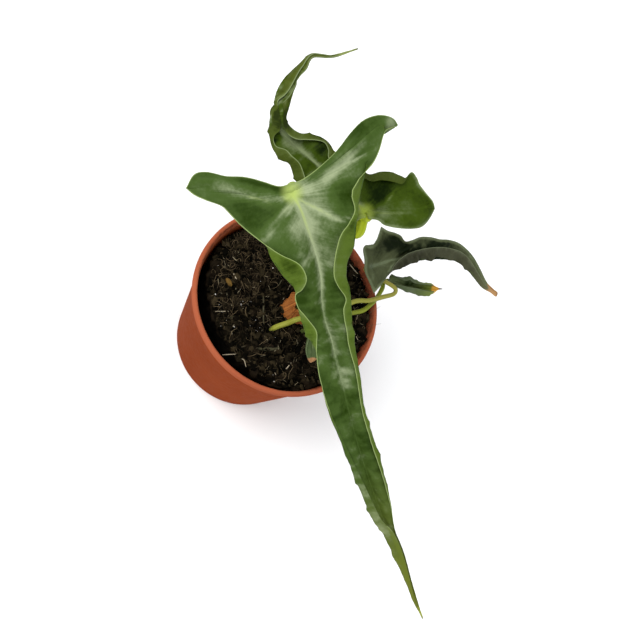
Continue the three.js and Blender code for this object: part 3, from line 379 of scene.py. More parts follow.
def round_ring(radius, height, angles, middle=(0, 0)):
    """Points around an upright axis, from the radius and the height at each angle."""
    x, y = middle[0] + radius * np.cos(angles), middle[1] + radius * np.sin(angles)
    return np.stack([x, y, height + 0 * angles], axis=1)


def walls(rings, sides):
    """Faces between rings of equal count that follow each other."""
    faces = []
    for ring in range(rings - 1):
        for k in range(sides):
            a, b = ring * sides + k, ring * sides + (k + 1) % sides
            faces.append([a, b, b + sides, a + sides])
    return faces


def closed_rings(rings, ends=None):
    """Points and faces of a solid from rings of equal count, each end closed around a point."""
    sides = len(rings[0])
    points = np.concatenate([*rings, ends or [ring.mean(axis=0) for ring in (rings[0], rings[-1])]])
    first = len(points) - 2
    faces = walls(len(rings), sides)
    for k in range(sides):
        after = (k + 1) % sides
        faces.append([first, after, k])
        faces.append([first + 1, first - sides + k, first - sides + after])
    return points, faces


# Pieces

def make_mesh(name, points, faces, values=None):
    """A mesh from points in millimetres, with a number for each point under each name."""
    mesh = bpy.data.meshes.new(name)
    mesh.from_pydata((np.asarray(points, float) * MM).tolist(), [], faces)
    for key, numbers in (values or {}).items():
        layer = mesh.attributes.new(key, "FLOAT", "POINT")
        layer.data.foreach_set("value", np.asarray(numbers, np.float32))
    return mesh


def make_piece(name, mesh, material, replaced=(), smooth=True):
    """Puts a finished mesh on the plant as a piece of its own."""
    piece = bpy.data.objects.new(name, mesh)
    bpy.context.scene.collection.objects.link(piece)
    finish_piece(piece, material, replaced, smooth)


def finish_piece(piece, material, replaced=(), smooth=True):
    """Gives a piece its material and the nodes that it stands for."""
    piece.data.materials.clear()
    piece.data.materials.append(material)
    piece.data.polygons.foreach_set("use_smooth", [smooth] * len(piece.data.polygons))
    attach(piece, "root")
    if replaced:
        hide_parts(*replaced)


# Blades as surfaces

# Shares by which fields rise, thicknesses, numbers of rows, and widths of what follows a vein

PUFF = 0.08
NOTCH_PUFF = 0.12
BLADE_MIDDLE = 0.5
BLADE_EDGE = 0.22
CLOSER_AT_EDGE = 1.25
ROWS_PER_LOBE_VEIN = 7
NOTCH_COLUMNS = 13
RIB_LINE = 0.9
RIB_GROOVE = 0.8
VEIN_LINE = 0.6
VEIN_GROOVE = 0.5
THIN_BORDER = 2.5
RELIEF_START = 3
FAR_AWAY = 99.0
SHEET_STEP = 20


class Blade:
    """The curves of one blade, in its own frame."""

    def __init__(self, table):
        self.table = table
        self.midrib_x = np.linspace(0, len(table["midrib"]) - 1, 1200)
        self.midrib_lengths = lengths_along(spline(table["midrib"], self.midrib_x))
        self.length = self.midrib_lengths[-1]

    def midrib(self, v):
        return spline(self.table["midrib"], np.interp(v, self.midrib_lengths, self.midrib_x))

    def frame(self):
        """Axes along, across and up, as rows."""
        heading, droop, bank = (math.radians(self.table[key]) for key in ("heading", "droop", "bank"))
        level = math.cos(droop)
        along = Vector((math.cos(heading) * level, math.sin(heading) * level, -math.sin(droop)))
        across = Matrix.Rotation(bank, 3, along) @ Vector((-math.sin(heading), math.cos(heading), 0))
        return np.array([along, across, along.cross(across)])

    def to_world(self, points):
        return np.asarray(points) @ self.frame() + np.array(self.table["origin"], float)

    def starts(self, half):
        return np.array([row[0] for row in self.table[half]], float)

    def fan(self, half):
        """Number of the last row that starts where the stalk meets the blade."""
        return int((self.starts(half) == 0).sum()) - 1

    def station(self, half, v):
        """Which row starts at a length along the midrib, as a number with a fraction."""
        fan = self.fan(half)
        starts = self.starts(half)
        return np.interp(v, starts[fan:], np.arange(fan, len(starts)))

    def control(self, half, stations):
        """Root, middle, fold and edge of the ribs at some stations."""
        rows = self.table[half]
        starts = self.starts(half)
        roots = self.midrib(starts)
        folds = np.array([row[-2] for row in rows], float)
        edges = np.array([row[-1] for row in rows], float)
        middles = (roots + folds) / 2
        middles[:, 2] += PUFF * np.linalg.norm(folds - roots, axis=1)
        if len(rows[0]) == 4:
            middles[0] = rows[0][1]
        root = self.midrib(np.interp(stations, np.arange(len(rows)), starts))
        return np.stack([root, *(spline(line, stations) for line in (middles, folds, edges))], axis=1)

    def surface(self, half, stations, outs):
        return ribs(self.control(half, np.atleast_1d(stations)), outs)

    def notch(self, half, outs, shares):
        """The sheet between the lobe's vein and the edge of the notch."""
        rail = self.table[half + "_notch"]
        inner = self.surface(half, 0, outs)[0]
        outer = spline(rail, np.asarray(outs) * (len(rail) - 1))
        between = (inner + outer) / 2
        between[:, 2] += NOTCH_PUFF * np.linalg.norm(outer - inner, axis=1)
        return ribs(np.stack([inner, between, outer], axis=1), shares)

    def sheets(self, spacing, columns):
        """Grids of points that make up the blade, each with its stations and shares."""
        outs = 1 - (1 - np.linspace(0, 1, columns)) ** CLOSER_AT_EDGE
        rows = int(self.length / spacing)
        sheets = []
        for half in ("near", "far"):
            turned = self.table[half][0][-2][1] < 0
            fan = self.fan(half)
            along = self.station(half, np.linspace(0, self.length, rows))
            lobe = np.linspace(0, fan, fan * ROWS_PER_LOBE_VEIN, endpoint=False)
            stations = np.concatenate([lobe, along])
            sheets.append((self.surface(half, stations, outs), stations, outs, turned))
            if half + "_notch" in self.table:
                shares = np.linspace(0, 1, NOTCH_COLUMNS)
                sheets.append((self.notch(half, outs, shares), outs, shares, turned))
        return sheets

    def side_vein(self, half, start, sweep, reach, count=40):
        """Points of a side vein that leaves the midrib and bends towards the tip."""
        outs = np.linspace(0, reach, count)
        stations = self.station(half, start + sweep * outs)
        return np.array([self.surface(half, s, [out])[0, 0] for s, out in zip(stations, outs)])


def joined(sheets):
    """One set of points and faces from grids that meet along shared lines."""
    index = {}
    points, marks, faces = [], [], []
    for number, (grid, stations, outs, turned) in enumerate(sheets):
        keys = np.round(grid * 500).astype(int)
        ids = np.empty(grid.shape[:2], int)
        for i in range(grid.shape[0]):
            for j in range(grid.shape[1]):
                key = tuple(keys[i, j])
                if key not in index:
                    index[key] = len(points)
                    points.append(grid[i, j])
                    marks.append((number, stations[i], outs[j]))
                ids[i, j] = index[key]
        for i in range(grid.shape[0] - 1):
            for j in range(grid.shape[1] - 1):
                corners = [ids[i, j], ids[i + 1, j], ids[i + 1, j + 1], ids[i, j + 1]]
                if turned:
                    corners.reverse()
                kept = list(dict.fromkeys(int(corner) for corner in corners))
                if len(kept) > 2:
                    faces.append(kept)
    return np.array(points), np.array(marks), faces


def corner_normals(points, faces):
    """Smooth normals, each face counting by its area."""
    normals = np.zeros_like(points)
    for face in faces:
        a, b, c = points[face[0]], points[face[1]], points[face[2]]
        normal = np.cross(b - a, c - a)
        if len(face) == 4:
            normal = normal + np.cross(c - a, points[face[3]] - a)
        for corner in face:
            normals[corner] += normal
    return normals / np.maximum(np.linalg.norm(normals, axis=1), 1e-12)[:, None]


def open_edges(faces):
    """Edges that only one face uses, in that face's direction."""
    used = {(face[n - 1], face[n]) for face in faces for n in range(len(face))}
    return [edge for edge in used if (edge[1], edge[0]) not in used]


def nearest(targets, points):
    """How far each point lies from the nearest of some targets, and that target's share of the list."""
    tree = kdtree.KDTree(len(targets))
    for number, target in enumerate(targets):
        tree.insert(target, number)
    tree.balance()
    found = [tree.find(point) for point in points]
    return np.array([hit[2] for hit in found]), np.array([hit[1] for hit in found]) / len(targets)


def filled_in(curve, step=0.15):
    """A line of points close enough together to measure distances from."""
    lengths = lengths_along(curve)
    return at_lengths(curve, lengths, np.arange(0, lengths[-1], step))


def rough(points, size, seed):
    """Smooth noise between -1 and 1 at each point, with bumps of about a size in millimetres."""
    shift = Vector((seed * 17.3, seed * 5.1, seed * 9.7))
    return np.array([noise.noise(Vector(point) / size + shift) for point in points])


def glow(away, width):
    """Strength of a band with a soft border, from how far away its middle line is."""
    return 0.7 * np.exp(-(away / (0.55 * width)) ** 2) + 0.3 * np.exp(-(away / (1.3 * width)) ** 2)


def soft_spots(points, spots, power=2):
    """Sum at each point of round spots with soft borders: middle, size and strength of each."""
    total = np.zeros(len(points))
    for middle, size, strength in spots:
        total += strength * np.exp(-(np.linalg.norm(points - np.array(middle), axis=1) / size) ** power)
    return total


def vein_marks(blade, look, points, rib, share):
    """Pale bands and lines along the veins, how far the next vein is, and the painted shade of dark strokes
    with the thin lines of the narrow ones.
    """
    root_width, tip_width = look["rib_band"]
    faded = np.ones(len(points))
    for start, end, low in look["rib_fade"]:
        faded *= 1 - (1 - low) * smooth_step((share - start) / (end - start))
    band = faded * glow(rib, tip_width + (root_width - tip_width) * (1 - share) ** 1.5)
    line = faded * smooth_step(1 - rib / RIB_LINE)
    vein = np.full(len(points), FAR_AWAY)
    stroke_shade_and_lines = np.zeros(len(points))
    curves = [(blade.side_vein(*course), *pale) for course, pale in look["veins"]]
    for passed, *pale in look["strokes"]:
        curves.append((spline(passed, np.linspace(0, len(passed) - 1, 60)), *pale))
    for curve, width, strength in curves:
        away, outward = nearest(filled_in(curve), points)
        seen = strength * smooth_step((1 - outward) / 0.5)
        # Dark strokes are painted shade along grooves; narrow pale ones are thin lines on both sides
        if strength < 0 or width < 1:
            stroke_shade_and_lines += seen * np.exp(-(away / width) ** 2)
            continue
        band = np.maximum(band, seen * glow(away, width * (1 - 0.3 * outward)))
        line = np.maximum(line, seen * smooth_step(1 - away / VEIN_LINE))
        vein = np.minimum(vein, away)
    return band, line, vein, stroke_shade_and_lines


def cross_creases(seed, along, rib, share):
    """Fine wrinkles across a blade, none at its stalk or on its midrib."""
    places = np.stack([along, 0.3 * rib, 0.1 * rib], axis=1)
    wrinkles = rough(places, 1.9, seed + 2) + 0.6 * rough(places, 4.5, seed + 3)
    return wrinkles * smooth_step((share - 0.1) / 0.15) * smooth_step(rib / 1.5)


def flat_stretch(blade, look, points, along, share):
    """Where the rolled near edge lies smooth, between two shares of the blade's length."""
    start, end = look["flat_roll"]
    near_half = points[:, 1] < blade.midrib(along)[:, 1]
    return near_half * smooth_step((share - start) / 0.08) * smooth_step((end - share) / 0.05)


def blade_relief(look, points, rib, vein, edge, share, creases, flat):
    """How far the blade is lifted at each point, its thickness there, and the rib below."""
    body = smooth_step(edge / RELIEF_START)
    on_vein = np.exp(-(vein / VEIN_GROOVE) ** 2) * body
    field = smooth_step(vein / look["field"]) * smooth_step(rib / look["field"]) * (1 - 0.6 * flat)
    lift = look["puff"] * field * body + look["crease"] * body * creases
    broad, fine = rough(points, 7, look["seed"]), rough(points, 2.6, look["seed"] + 1)
    lift += look["ripple"] * (body * broad + 0.4 * fine)
    lift -= look["groove"] * (on_vein + np.exp(-(rib / RIB_GROOVE) ** 2) * body)
    thick = BLADE_EDGE + (BLADE_MIDDLE - BLADE_EDGE) * smooth_step(edge / THIN_BORDER)
    taper = np.clip(1 - share, 0, 1)
    ridge = (0.25 + 0.75 * taper) * np.exp(-(rib / (0.35 + 0.9 * taper)) ** 2) + 0.3 * on_vein
    return lift, thick, look["rib_ridge"] * ridge


def blade_mesh(name, look):
    """A blade with thickness, veins sunk into its face and standing out below, and puffed fields."""
    blade = Blade(look["table"])
    points, marks, faces = joined(blade.sheets(look["spacing"], look["columns"]))
    rim = open_edges(faces)
    edge, _ = nearest(points[sorted({corner for pair in rim for corner in pair})], points)
    rib, share = nearest(filled_in(blade.midrib(np.linspace(0, blade.length, 400))), points)
    along = share * blade.length
    band, line, vein, stroke_shade_and_lines = vein_marks(blade, look, points, rib, share)
    creases = cross_creases(look["seed"], along, rib, share)
    flat = flat_stretch(blade, look, points, along, share)
    lift, thick, ridge = blade_relief(look, points, rib, vein, edge, share, creases, flat)
    normals = corner_normals(points, faces)
    upper = points + normals * (lift + thick / 2)[:, None]
    lower = points + normals * (lift - thick / 2 - ridge)[:, None]

    count = len(points)
    all_faces = list(faces)
    all_faces += [[corner + count for corner in reversed(face)] for face in faces]
    all_faces += [[b, a, a + count, b + count] for a, b in rim]
    plain_edge = edge + flat + soft_spots(points, look["plain_edges"], 4)
    values = {
        "band": band, "line": line, "edge": plain_edge, "knee": np.linalg.norm(points, axis=1),
        "share": share, "crease": creases,
        "sheet": marks[:, 0] * SHEET_STEP, "station": marks[:, 1], "out": marks[:, 2],
    }
    values = {key: np.tile(numbers, 2) for key, numbers in values.items()}
    values["under"] = np.concatenate([np.zeros(count), 1 - flat])
    # Painted shade and painted sheen of each side, with some of the blade's own tone
    painted_light_and_tone = [stroke_shade_and_lines + soft_spots(points, look[side]) for side in ("painted_light_and_tone_patches", "under_painted_light_and_tone_patches")]
    values["shade"] = np.clip(np.concatenate(painted_light_and_tone), -1.5, 1)
    return make_mesh(name, blade.to_world(np.vstack([upper, lower])), all_faces, values), blade


# Looks of the blades. A vein has its half, its start along the midrib, its sweep to the tip and
# its reach to the edge, then the width and strength of the pale band along it. A stroke has the
# points that it passes in the frame of the blade, a width and a strength, is painted shade along
# a groove if that is less than 0, and a thin line on both sides if its width is under 1. A patch
# has its middle, its size and how much paler it is than the rest of that side, or darker if that
# is less than 0: painted shade in hollows and under folds, painted sheen where the blade faces
# the light, and some of the blade's own tone. A plain edge has no pale margin, and flat_roll
# gives the shares of the length between which the near edge is smooth.

def paired_veins(starts, sweep, reach, *pale):
    return [((half, start, sweep, reach), pale) for start in starts for half in ("near", "far")]


PLAIN_LOOK = {
    "veins": [],
    "strokes": [],
    "painted_light_and_tone_patches": [],
    "under_painted_light_and_tone_patches": [],
    "plain_edges": [],
    "flat_roll": (2, 2),
}

BLADE_LOOKS = {
    "front": {
        "table": FRONT_BLADE, "spacing": 0.85, "columns": 30, "seed": 1,
        "veins": paired_veins((47,), 13, 0.7, 3, 0.2)
        + paired_veins((84, 99, 113, 127, 141, 156), 15, 0.7, 2.5, 0.1),
        "strokes": [
            (((1.5, -1, 0.5), (-0.5, -9, 2), (-4, -15.5, 0.5), (-9.5, -23, -1), (-14.5, -34, -4)), 4, 0.65),
            (((0.5, 2, 1), (-0.5, 10.5, 3.5), (-3.5, 20, 3.5), (-7.5, 29, 2), (-13, 40, 0)), 4.2, 0.85),
            (((-4, 21, 3), (-4, 29.5, 1.5), (-5, 40, 1.5)), 2, 0.6),
            (((3.5, -1, 1.5), (6.5, -8, 4.5), (13, -18, 5.5), (17, -24, 6)), 2.4, 0.8),
            (((3.5, 2, 1.5), (9.5, 8, 5), (14.5, 13, 7.3), (15, 18, 7.5), (14, 33, 8)), 2.6, 0.7),
            (((24, -1, 5.5), (25, -8, 9)), 3, 0.4), (((25.5, 1.5, 5), (31, 6, 9)), 3, 0.4),
            (((62, -4.5, 8.5), (70.5, -8.5, 11), (76, -11.5, 11.5)), 3.6, 0.25),
            (((62, -4.5, 8.5), (73.5, -4.5, 10.5), (84, -3.5, 12)), 4.2, 0.25),
            (((-2, -2.5, 1), (-8, -12, -0.5), (-15, -25, -3.5)), 1.6, -0.9),
        ],
        "painted_light_and_tone_patches": [
            ((1, -17.5, 1.5), 7, -0.7), ((6.5, 18, 5.5), 5.5, -0.5), ((-14, 33, 0), 5, -0.5),
            ((16.5, -14, 7.5), 4, -0.4), ((37.5, -11, 10), 4, -0.8), ((39, 2, 9.5), 4, -0.4),
            ((54, -7, 9.5), 4, -0.3), ((68.5, -12, 11.5), 3, -0.5), ((78, -10, 12), 3.5, -0.6),
            ((81.5, -2.5, 12.5), 3, -0.6), ((88.5, -12.5, 12), 5, -0.5), ((100, -3.5, 12.5), 5, -0.6),
            ((12, -3, 5.5), 5, 0.5), ((20, -4, 7.5), 5, 0.45), ((14.5, 6, 6.5), 4, 0.3),
            ((70, -6, 10), 6, 0.35), ((77, -6, 11), 4.5, 0.3), ((60, -1.5, 11), 3.5, 0.2),
            ((-11.2, 45, -2.8), 3.2, 1.3),
            ((93, -9.5, 12), 3, 0.2), ((101, -9.5, 11.5), 4, 0.3), ((109, -6.5, 10), 3, 0.45),
            ((113, -10, 12), 4, 0.35), ((127, -8, 11), 5, 0.3), ((138, -6, 10), 5, 0.3),
            ((5, 8, 4.5), 4, 0.7), ((12.5, -4, 6), 4, 0.5), ((12, 3, 4), 4, 0.5), ((6, 3, 3), 4, 0.4),
            ((26, 5, 8), 5, 0.5), ((4, -12, 3.5), 4, -0.3), ((119.5, -6, 10.5), 12, -0.3),
        ],
        "under_painted_light_and_tone_patches": [
            ((24, -11, 12), 9, -0.6), ((29.5, -7, 13), 1.8, 0.4), ((27, -12, 11), 2, 0.4),
            ((32.5, -10, 11.5), 2, 0.3), ((21, -16, 8.5), 4, 0.3), ((18, 14.5, 10), 4, -0.5),
            ((31.5, 5, 12.5), 3, 0.3), ((25.5, 12, 10.5), 3, -0.2),
            ((118, -12, 13), 9, 0.3), ((131, -10, 12), 9, 0.45), ((143, -7.5, 10.5), 8, 0.5),
        ],
        "rib_band": (3.7, 1.8), "rib_fade": ((0.13, 0.21, 0.6), (0.28, 0.4, 0.1)),
        "flat_roll": (0.4, 0.83), "plain_edges": [((172, -3, 7), 26, 1)], "field": 3.5, "puff": 0.45,
        "ripple": 0.35, "crease": 0.22, "groove": 0.22, "rib_ridge": 0.9,
    },
    "back": {
        "table": BACK_BLADE, "spacing": 0.8, "columns": 26, "seed": 7,
        "veins": paired_veins((7, 22, 34, 46), 6, 0.8, 2.2, 0.2),
        "strokes": [
            (((0, -0.5, 0), (-2, -7, 1.5), (2.5, -20, 2)), 2.2, 0.5),
            (((-2.5, -3, 1.5), (-5.5, -7, 1.5), (-12.5, -20, -0.5)), 2.2, 0.2),
            (
                ((57, 7, 3.8), (57, 5, 4), (57, 1, 4.5), (58.5, -4, 3.5), (61, -9, 2), (63, -13, 0)),
                0.7, 1.2,
            ),
            (((54.5, 5.5, 5.5), (53.5, 7, 6), (52.5, 9.5, 6), (50, 12.5, 7), (47, 15, 8)), 0.7, 1.2),
            (((54, 1.5, 5), (50.5, 6.5, 6.5), (48.5, 9.5, 8.5), (46, 12, 9)), 0.7, 1),
        ],
        "painted_light_and_tone_patches": [
            ((4.5, -8, 4), 5, -0.5), ((3.5, -13, 3.5), 5, -0.45), ((2.5, -4.5, 2), 4, -0.35),
            ((6.5, -15, 6), 5, -0.45), ((-5, -5, 1), 2.5, 0.5),
            ((29, 2.5, 7.5), 5, -0.45), ((41.5, 16, 8), 3, -0.7), ((38, 9, 6.5), 1.6, -0.6),
            ((29.5, 6.5, 5.5), 2.5, 0.35), ((38, 11, 6), 4, 0.7), ((-11, -7.5, 0), 3.5, 0.3),
            ((-9, -20, -0.5), 6, 0.1),
        ],
        "under_painted_light_and_tone_patches": [
            ((48, 8, 7.5), 3, -1), ((44.5, 10, 9.5), 3, -0.8), ((54, 0, 4), 2.5, -0.8),
            ((51.5, 8, 6.5), 4, -0.6), ((58, -2, 4), 3, -0.5), ((41.5, 17.5, 10), 4, -0.3),
            ((5, -12, 8), 8, -0.15),
        ],
        "rib_band": (3.2, 2), "rib_fade": ((0.5, 0.6, 0.1),),
        "plain_edges": [((4, -13, 6), 10, 1), ((47, 13, 8), 6.5, 1), ((51.5, 6, 6.5), 3.4, 1)],
        "field": 3, "puff": 0.35, "ripple": 0.35, "crease": 0.12, "groove": 0.2, "rib_ridge": 0.8,
    },
    "side": {
        "table": SIDE_BLADE, "spacing": 0.6, "columns": 26, "seed": 13,
        "veins": paired_veins((3, 14, 26, 38, 50), 7, 0.8, 1.6, 0.3),
        "strokes": [(((0, 0, 0), (2, -6, 0.5), (3.5, -10, -0.5)), 1.4, 0.3)],
        "painted_light_and_tone_patches": [
            ((9.5, 14.5, 3.5), 5.5, -0.45), ((13, 12, 6), 5, -0.45), ((19.5, 14, 8.5), 5.5, -0.55),
            ((6, 15, 1.8), 4, -0.5),
            ((29, 17, 8.5), 6, -0.8), ((38, 19, 8), 6, -0.7), ((6.5, 10.5, 2.8), 4, -0.3),
            ((4.5, 9, 2.5), 5, -0.15),
            ((-2.5, 3, 0.5), 4, 0.35), ((0.5, -4, 1), 4, 0.25), ((5, 0, 1.5), 3, 0.25),
        ],
        "under_painted_light_and_tone_patches": [((14, 5, 3), 4, -0.6), ((24, 10, 5), 5, -0.4), ((44, 15, 6), 6, -0.2)],
        "rib_band": (1.6, 0.8), "rib_fade": ((0.2, 0.4, 0.3),), "field": 2.5, "puff": 0.35, "ripple": 0.4,
        "crease": 0.15, "groove": 0.2, "rib_ridge": 0.6,
    },
    "curled": {
        "table": CURLED_BLADE, "spacing": 0.45, "columns": 20, "seed": 19,
        "veins": paired_veins((6, 12, 18), 4, 0.8, 1, 0.3),
        "painted_light_and_tone_patches": [((9, -0.5, 2), 2, -0.6), ((12, 0.5, 2.5), 2, -0.7), ((16, -0.5, 1.5), 2, -0.5)],
        "under_painted_light_and_tone_patches": [((10, -4, 2), 3, 0.3), ((19, -3.5, 2.5), 3, 0.3), ((6, -3, 0.5), 3, -0.3)],
        "rib_band": (1, 0.5), "rib_fade": ((0.4, 0.6, 0.3),), "field": 1.5, "puff": 0.2, "ripple": 0.25,
        "crease": 0.1, "groove": 0.12, "rib_ridge": 0.35,
    },
    "young": {
        "table": YOUNG_BLADE, "spacing": 0.4, "columns": 16, "seed": 23, "rib_band": (0.8, 0.4),
        "rib_fade": ((0.4, 0.6, 0.3),), "field": 1.5, "puff": 0.1, "ripple": 0.2, "crease": 0.08,
        "groove": 0.08, "rib_ridge": 0.25,
    },
}


# Stalks

STALK_SIDES = 18
KNEE_LENGTH = 3
KNEE_AT = 0.97
KNEE_SPREAD = 0.03
STALK_INTO_BLADE = 0.1


def tube(points, radii, sides):
    """Points and faces of a closed round tube along a line of points, with the share of its length."""
    points = np.asarray(points, float)
    steps = np.gradient(points, axis=0)
    steps /= np.linalg.norm(steps, axis=1)[:, None]
    side = np.cross(steps[0], (0, 0, 1) if abs(steps[0][2]) < 0.9 else (1, 0, 0))
    rings = []
    cosines, sines = np.cos(around(sides))[:, None], np.sin(around(sides))[:, None]
    for point, step, radius in zip(points, steps, radii):
        side = side - step * np.dot(side, step)
        side /= np.linalg.norm(side)
        other = np.cross(step, side)
        rings.append(point + radius * (cosines * side + sines * other))
    last = (len(points) - 1) * sides
    ends = [list(range(sides))[::-1], list(range(last, last + sides))]
    faces = ends + walls(len(points), sides)
    return np.concatenate(rings), faces, np.repeat(np.linspace(0, 1, len(points)), sides)


def stalk_mesh(name, stalk, blade):
    """A stalk from its foot in the ground to the knee under the blade, where it swells."""
    foot, top, swelling, path = stalk
    seat = np.array(blade.table["origin"], float)
    up = blade.frame()[2]
    below = -up * math.copysign(1, up[2])
    end = seat + below * (BLADE_MIDDLE / 2 - STALK_INTO_BLADE)
    before = seat + below * (CAD_BLADE_THICKNESS / 2 + GAP + KNEE_LENGTH)
    line = evenly([*path, before, end], 120)
    share = np.linspace(0, 1, len(line))
    knee = swelling * np.exp(-((share - KNEE_AT) / KNEE_SPREAD) ** 2)
    waves = 0.03 * np.sin(share * 37 + foot)
    points, faces, shares = tube(line, (foot + (top - foot) * share) * (1 + knee + waves), STALK_SIDES)
    turns = np.tile(np.arange(STALK_SIDES) / STALK_SIDES, len(line))
    return make_mesh(name, points, faces, {"share": shares, "around": turns})


# Pot

WALL_SLOPE = (WALL_RADIUS_AT_LIP - FOOT_RADIUS) / (POT_HEIGHT - LIP_DEPTH)


def wall_radius(z):
    """Outer radius of the wall at a height."""
    return FOOT_RADIUS + WALL_SLOPE * z


def pot_profile():
    """Radius and height of the wall, up the outside and down the inside."""
    lip = POT_HEIGHT - LIP_DEPTH
    ring = lip - RING_BELOW_LIP
    below_ring = ring - RING_HEIGHT
    inside = WALL + RING_STEP
    corner = FLOOR_THICKNESS + FLOOR_CORNER_HEIGHT
    outer = [
        (FOOT_RADIUS - FOOT_EDGE, 0), (FOOT_RADIUS - 0.3, 0.3), (FOOT_RADIUS, FOOT_EDGE),
        (wall_radius(below_ring) - RING_STEP, below_ring),
        (wall_radius(ring - RING_EDGE), ring - RING_EDGE), (wall_radius(ring), ring),
        (wall_radius(lip) - RING_STEP, lip), (LIP_RADIUS - LIP_EDGE_IN, lip),
        (LIP_RADIUS, lip + LIP_EDGE_UP),
    ]
    lip_middle = LIP_RADIUS - LIP_WIDTH / 2
    round_top = [
        (lip_middle + LIP_WIDTH / 2 * math.cos(angle), POT_HEIGHT - LIP_WIDTH / 2 * (1 - math.sin(angle)))
        for angle in np.linspace(0, math.pi, 9)
    ]
    inner = [
        (wall_radius(lip) - inside, lip), (wall_radius(ring) - inside, ring),
        (wall_radius(below_ring) - inside, below_ring), (wall_radius(corner) - WALL, corner),
        (wall_radius(FLOOR_THICKNESS) - WALL - FLOOR_CORNER_WIDTH, FLOOR_THICKNESS),
    ]
    return outer + round_top + inner


def select_none():
    """Deselects all objects."""
    for each in bpy.context.selected_objects:
        each.select_set(False)


def taken_out(name):
    """The primitive just shaped, with its own name and its place in its mesh."""
    piece = bpy.context.active_object
    piece.name = name
    bpy.ops.object.transform_apply(location=True, rotation=True, scale=True)
    return piece


def model_pot():
    """A disc drawn up into the wall, over the lip and down to the floor inside, then drilled."""
    select_none()
    profile = pot_profile()
    radius, height = profile[0]
    bpy.ops.mesh.primitive_circle_add(
        vertices=POT_SIDES, radius=radius * MM, fill_type="NGON", location=(0, 0, height * MM),
    )
    bpy.ops.object.mode_set(mode="EDIT")
    bpy.ops.mesh.select_all(action="SELECT")
    bpy.ops.mesh.flip_normals()
    for next_radius, next_height in profile[1:]:
        rise = (next_height - height) * MM
        bpy.ops.mesh.extrude_edges_move(TRANSFORM_OT_translate={"value": (0, 0, rise)})
        scale = next_radius / radius
        bpy.ops.transform.resize(value=(scale, scale, 1), center_override=(0, 0, next_height * MM))
        radius, height = next_radius, next_height
    bpy.ops.mesh.edge_face_add()
    bpy.ops.mesh.select_all(action="SELECT")
    bpy.ops.mesh.normals_make_consistent(inside=False)
    bpy.ops.object.mode_set(mode="OBJECT")
    pot = taken_out("nursery_pot")
    drills = []
    drain_circle = DRAIN_CIRCLE_RADIUS * MM
    for number in range(DRAIN_HOLES):
        angle = 2 * math.pi * (number + 0.5) / DRAIN_HOLES
        select_none()
        bpy.ops.mesh.primitive_cylinder_add(
            vertices=40, radius=DRAIN_HOLE_RADIUS * MM, depth=4 * FLOOR_THICKNESS * MM,
            location=(drain_circle * math.cos(angle), drain_circle * math.sin(angle), 0),
        )
        drills.append(taken_out("drill"))
    for drill in drills:
        cut = pot.modifiers.new("drain hole", "BOOLEAN")
        cut.operation = "DIFFERENCE"
        cut.object = drill
        bpy.context.view_layer.objects.active = pot
        bpy.ops.object.modifier_apply(modifier=cut.name)
        bpy.data.objects.remove(drill)
    return pot


# Peat

def clods(x, y):
    """Broad bumps of the peat's top."""
    return (
        0.8 * np.sin(0.31 * x + 1.3) * np.cos(0.27 * y - 0.4)
        + 0.5 * np.sin(0.52 * x - 0.38 * y + 2.1)
        + 0.35 * np.sin(0.61 * x + 0.47 * y) * np.cos(0.7 * y + 0.9)
    )


def degrees_from(angle, middle):
    """How many degrees an angle in radians lies from one in degrees."""
    return np.abs((np.degrees(angle) - middle + 180) % 360 - 180)


def crevice_at(angle):
    """Share of the crevice's full width at an angle."""
    return smooth_step(1 - degrees_from(angle, CREVICE_ANGLE) / CREVICE_SPREAD)


def bank_at(x, y):
    """How far the peat is heaped up against the wall on one side."""
    side = (BANK_SPREAD - degrees_from(np.arctan2(y, x), BANK_ANGLE)) / BANK_FADE
    outward = (np.hypot(x, y) - BANK_START) / (BANK_END - BANK_START)
    return BANK_HEIGHT * smooth_step(side) * smooth_step(outward)


def peat_radius(z):
    """Radius of the peat against the wall."""
    return wall_radius(z) - WALL - RING_STEP - GAP


CLODS_LOST_PER_MM = 0.12
HUMP_PLACE = (-4, 4.5)
HUMP_SIZE = 4.2
HUMP_HEIGHT = 5


def peat_top(x, y):
    """Height of the peat, without its crumbs, with a hump against the corm."""
    bank = bank_at(x, y)
    away = np.hypot(x - HUMP_PLACE[0], y - HUMP_PLACE[1])
    hump = HUMP_HEIGHT * np.exp(-(away / HUMP_SIZE) ** 2)
    return SOIL_TOP + clods(x, y) * (1 - CLODS_LOST_PER_MM * bank) + bank + hump


def peat_reach(angle):
    """Radius of the top's rim, which the crevice along the wall draws in."""
    rim = peat_radius(SOIL_TOP - 1) - 0.5
    bank = bank_at(rim * np.cos(angle), rim * np.sin(angle)) / BANK_HEIGHT
    return rim - CREVICE_WIDTH * crevice_at(angle) + BANK_REACH * bank


PEAT_SIDES = 280
PEAT_RINGS = 110
RIM_START = 0.93
RIM_DROP = 0.8
CREVICE_FLOOR = SOIL_TOP - CREVICE_DEPTH
CREVICE_TOP = SOIL_TOP - 0.6
CREVICE_FOOT = CREVICE_FLOOR + 4
CREVICE_NARROWING = 0.6
POT_FLOOR = FLOOR_THICKNESS + GAP


def peat_rings(angles):
    """Rings from the middle of the top outwards, down the crevice, and down the wall to the floor."""
    reach = peat_reach(angles)
    rings = []
    for share in np.linspace(0, 1, PEAT_RINGS)[1:]:
        radius = share * reach
        top = peat_top(radius * np.cos(angles), radius * np.sin(angles))
        drop = RIM_DROP * max(0, share - RIM_START) / (1 - RIM_START)
        rings.append(round_ring(radius, top - drop, angles))
    foot_radius = peat_radius(CREVICE_FOOT) - CREVICE_NARROWING * CREVICE_WIDTH * crevice_at(angles)
    for share in np.linspace(0.12, 1, 9):
        radius = reach + (foot_radius - reach) * share
        rings.append(round_ring(radius, CREVICE_TOP + (CREVICE_FOOT - CREVICE_TOP) * share, angles))
    for height in [CREVICE_FLOOR, *np.linspace(CREVICE_FLOOR - 8, POT_FLOOR, 5)]:
        rings.append(round_ring(peat_radius(height), height, angles))
    return rings


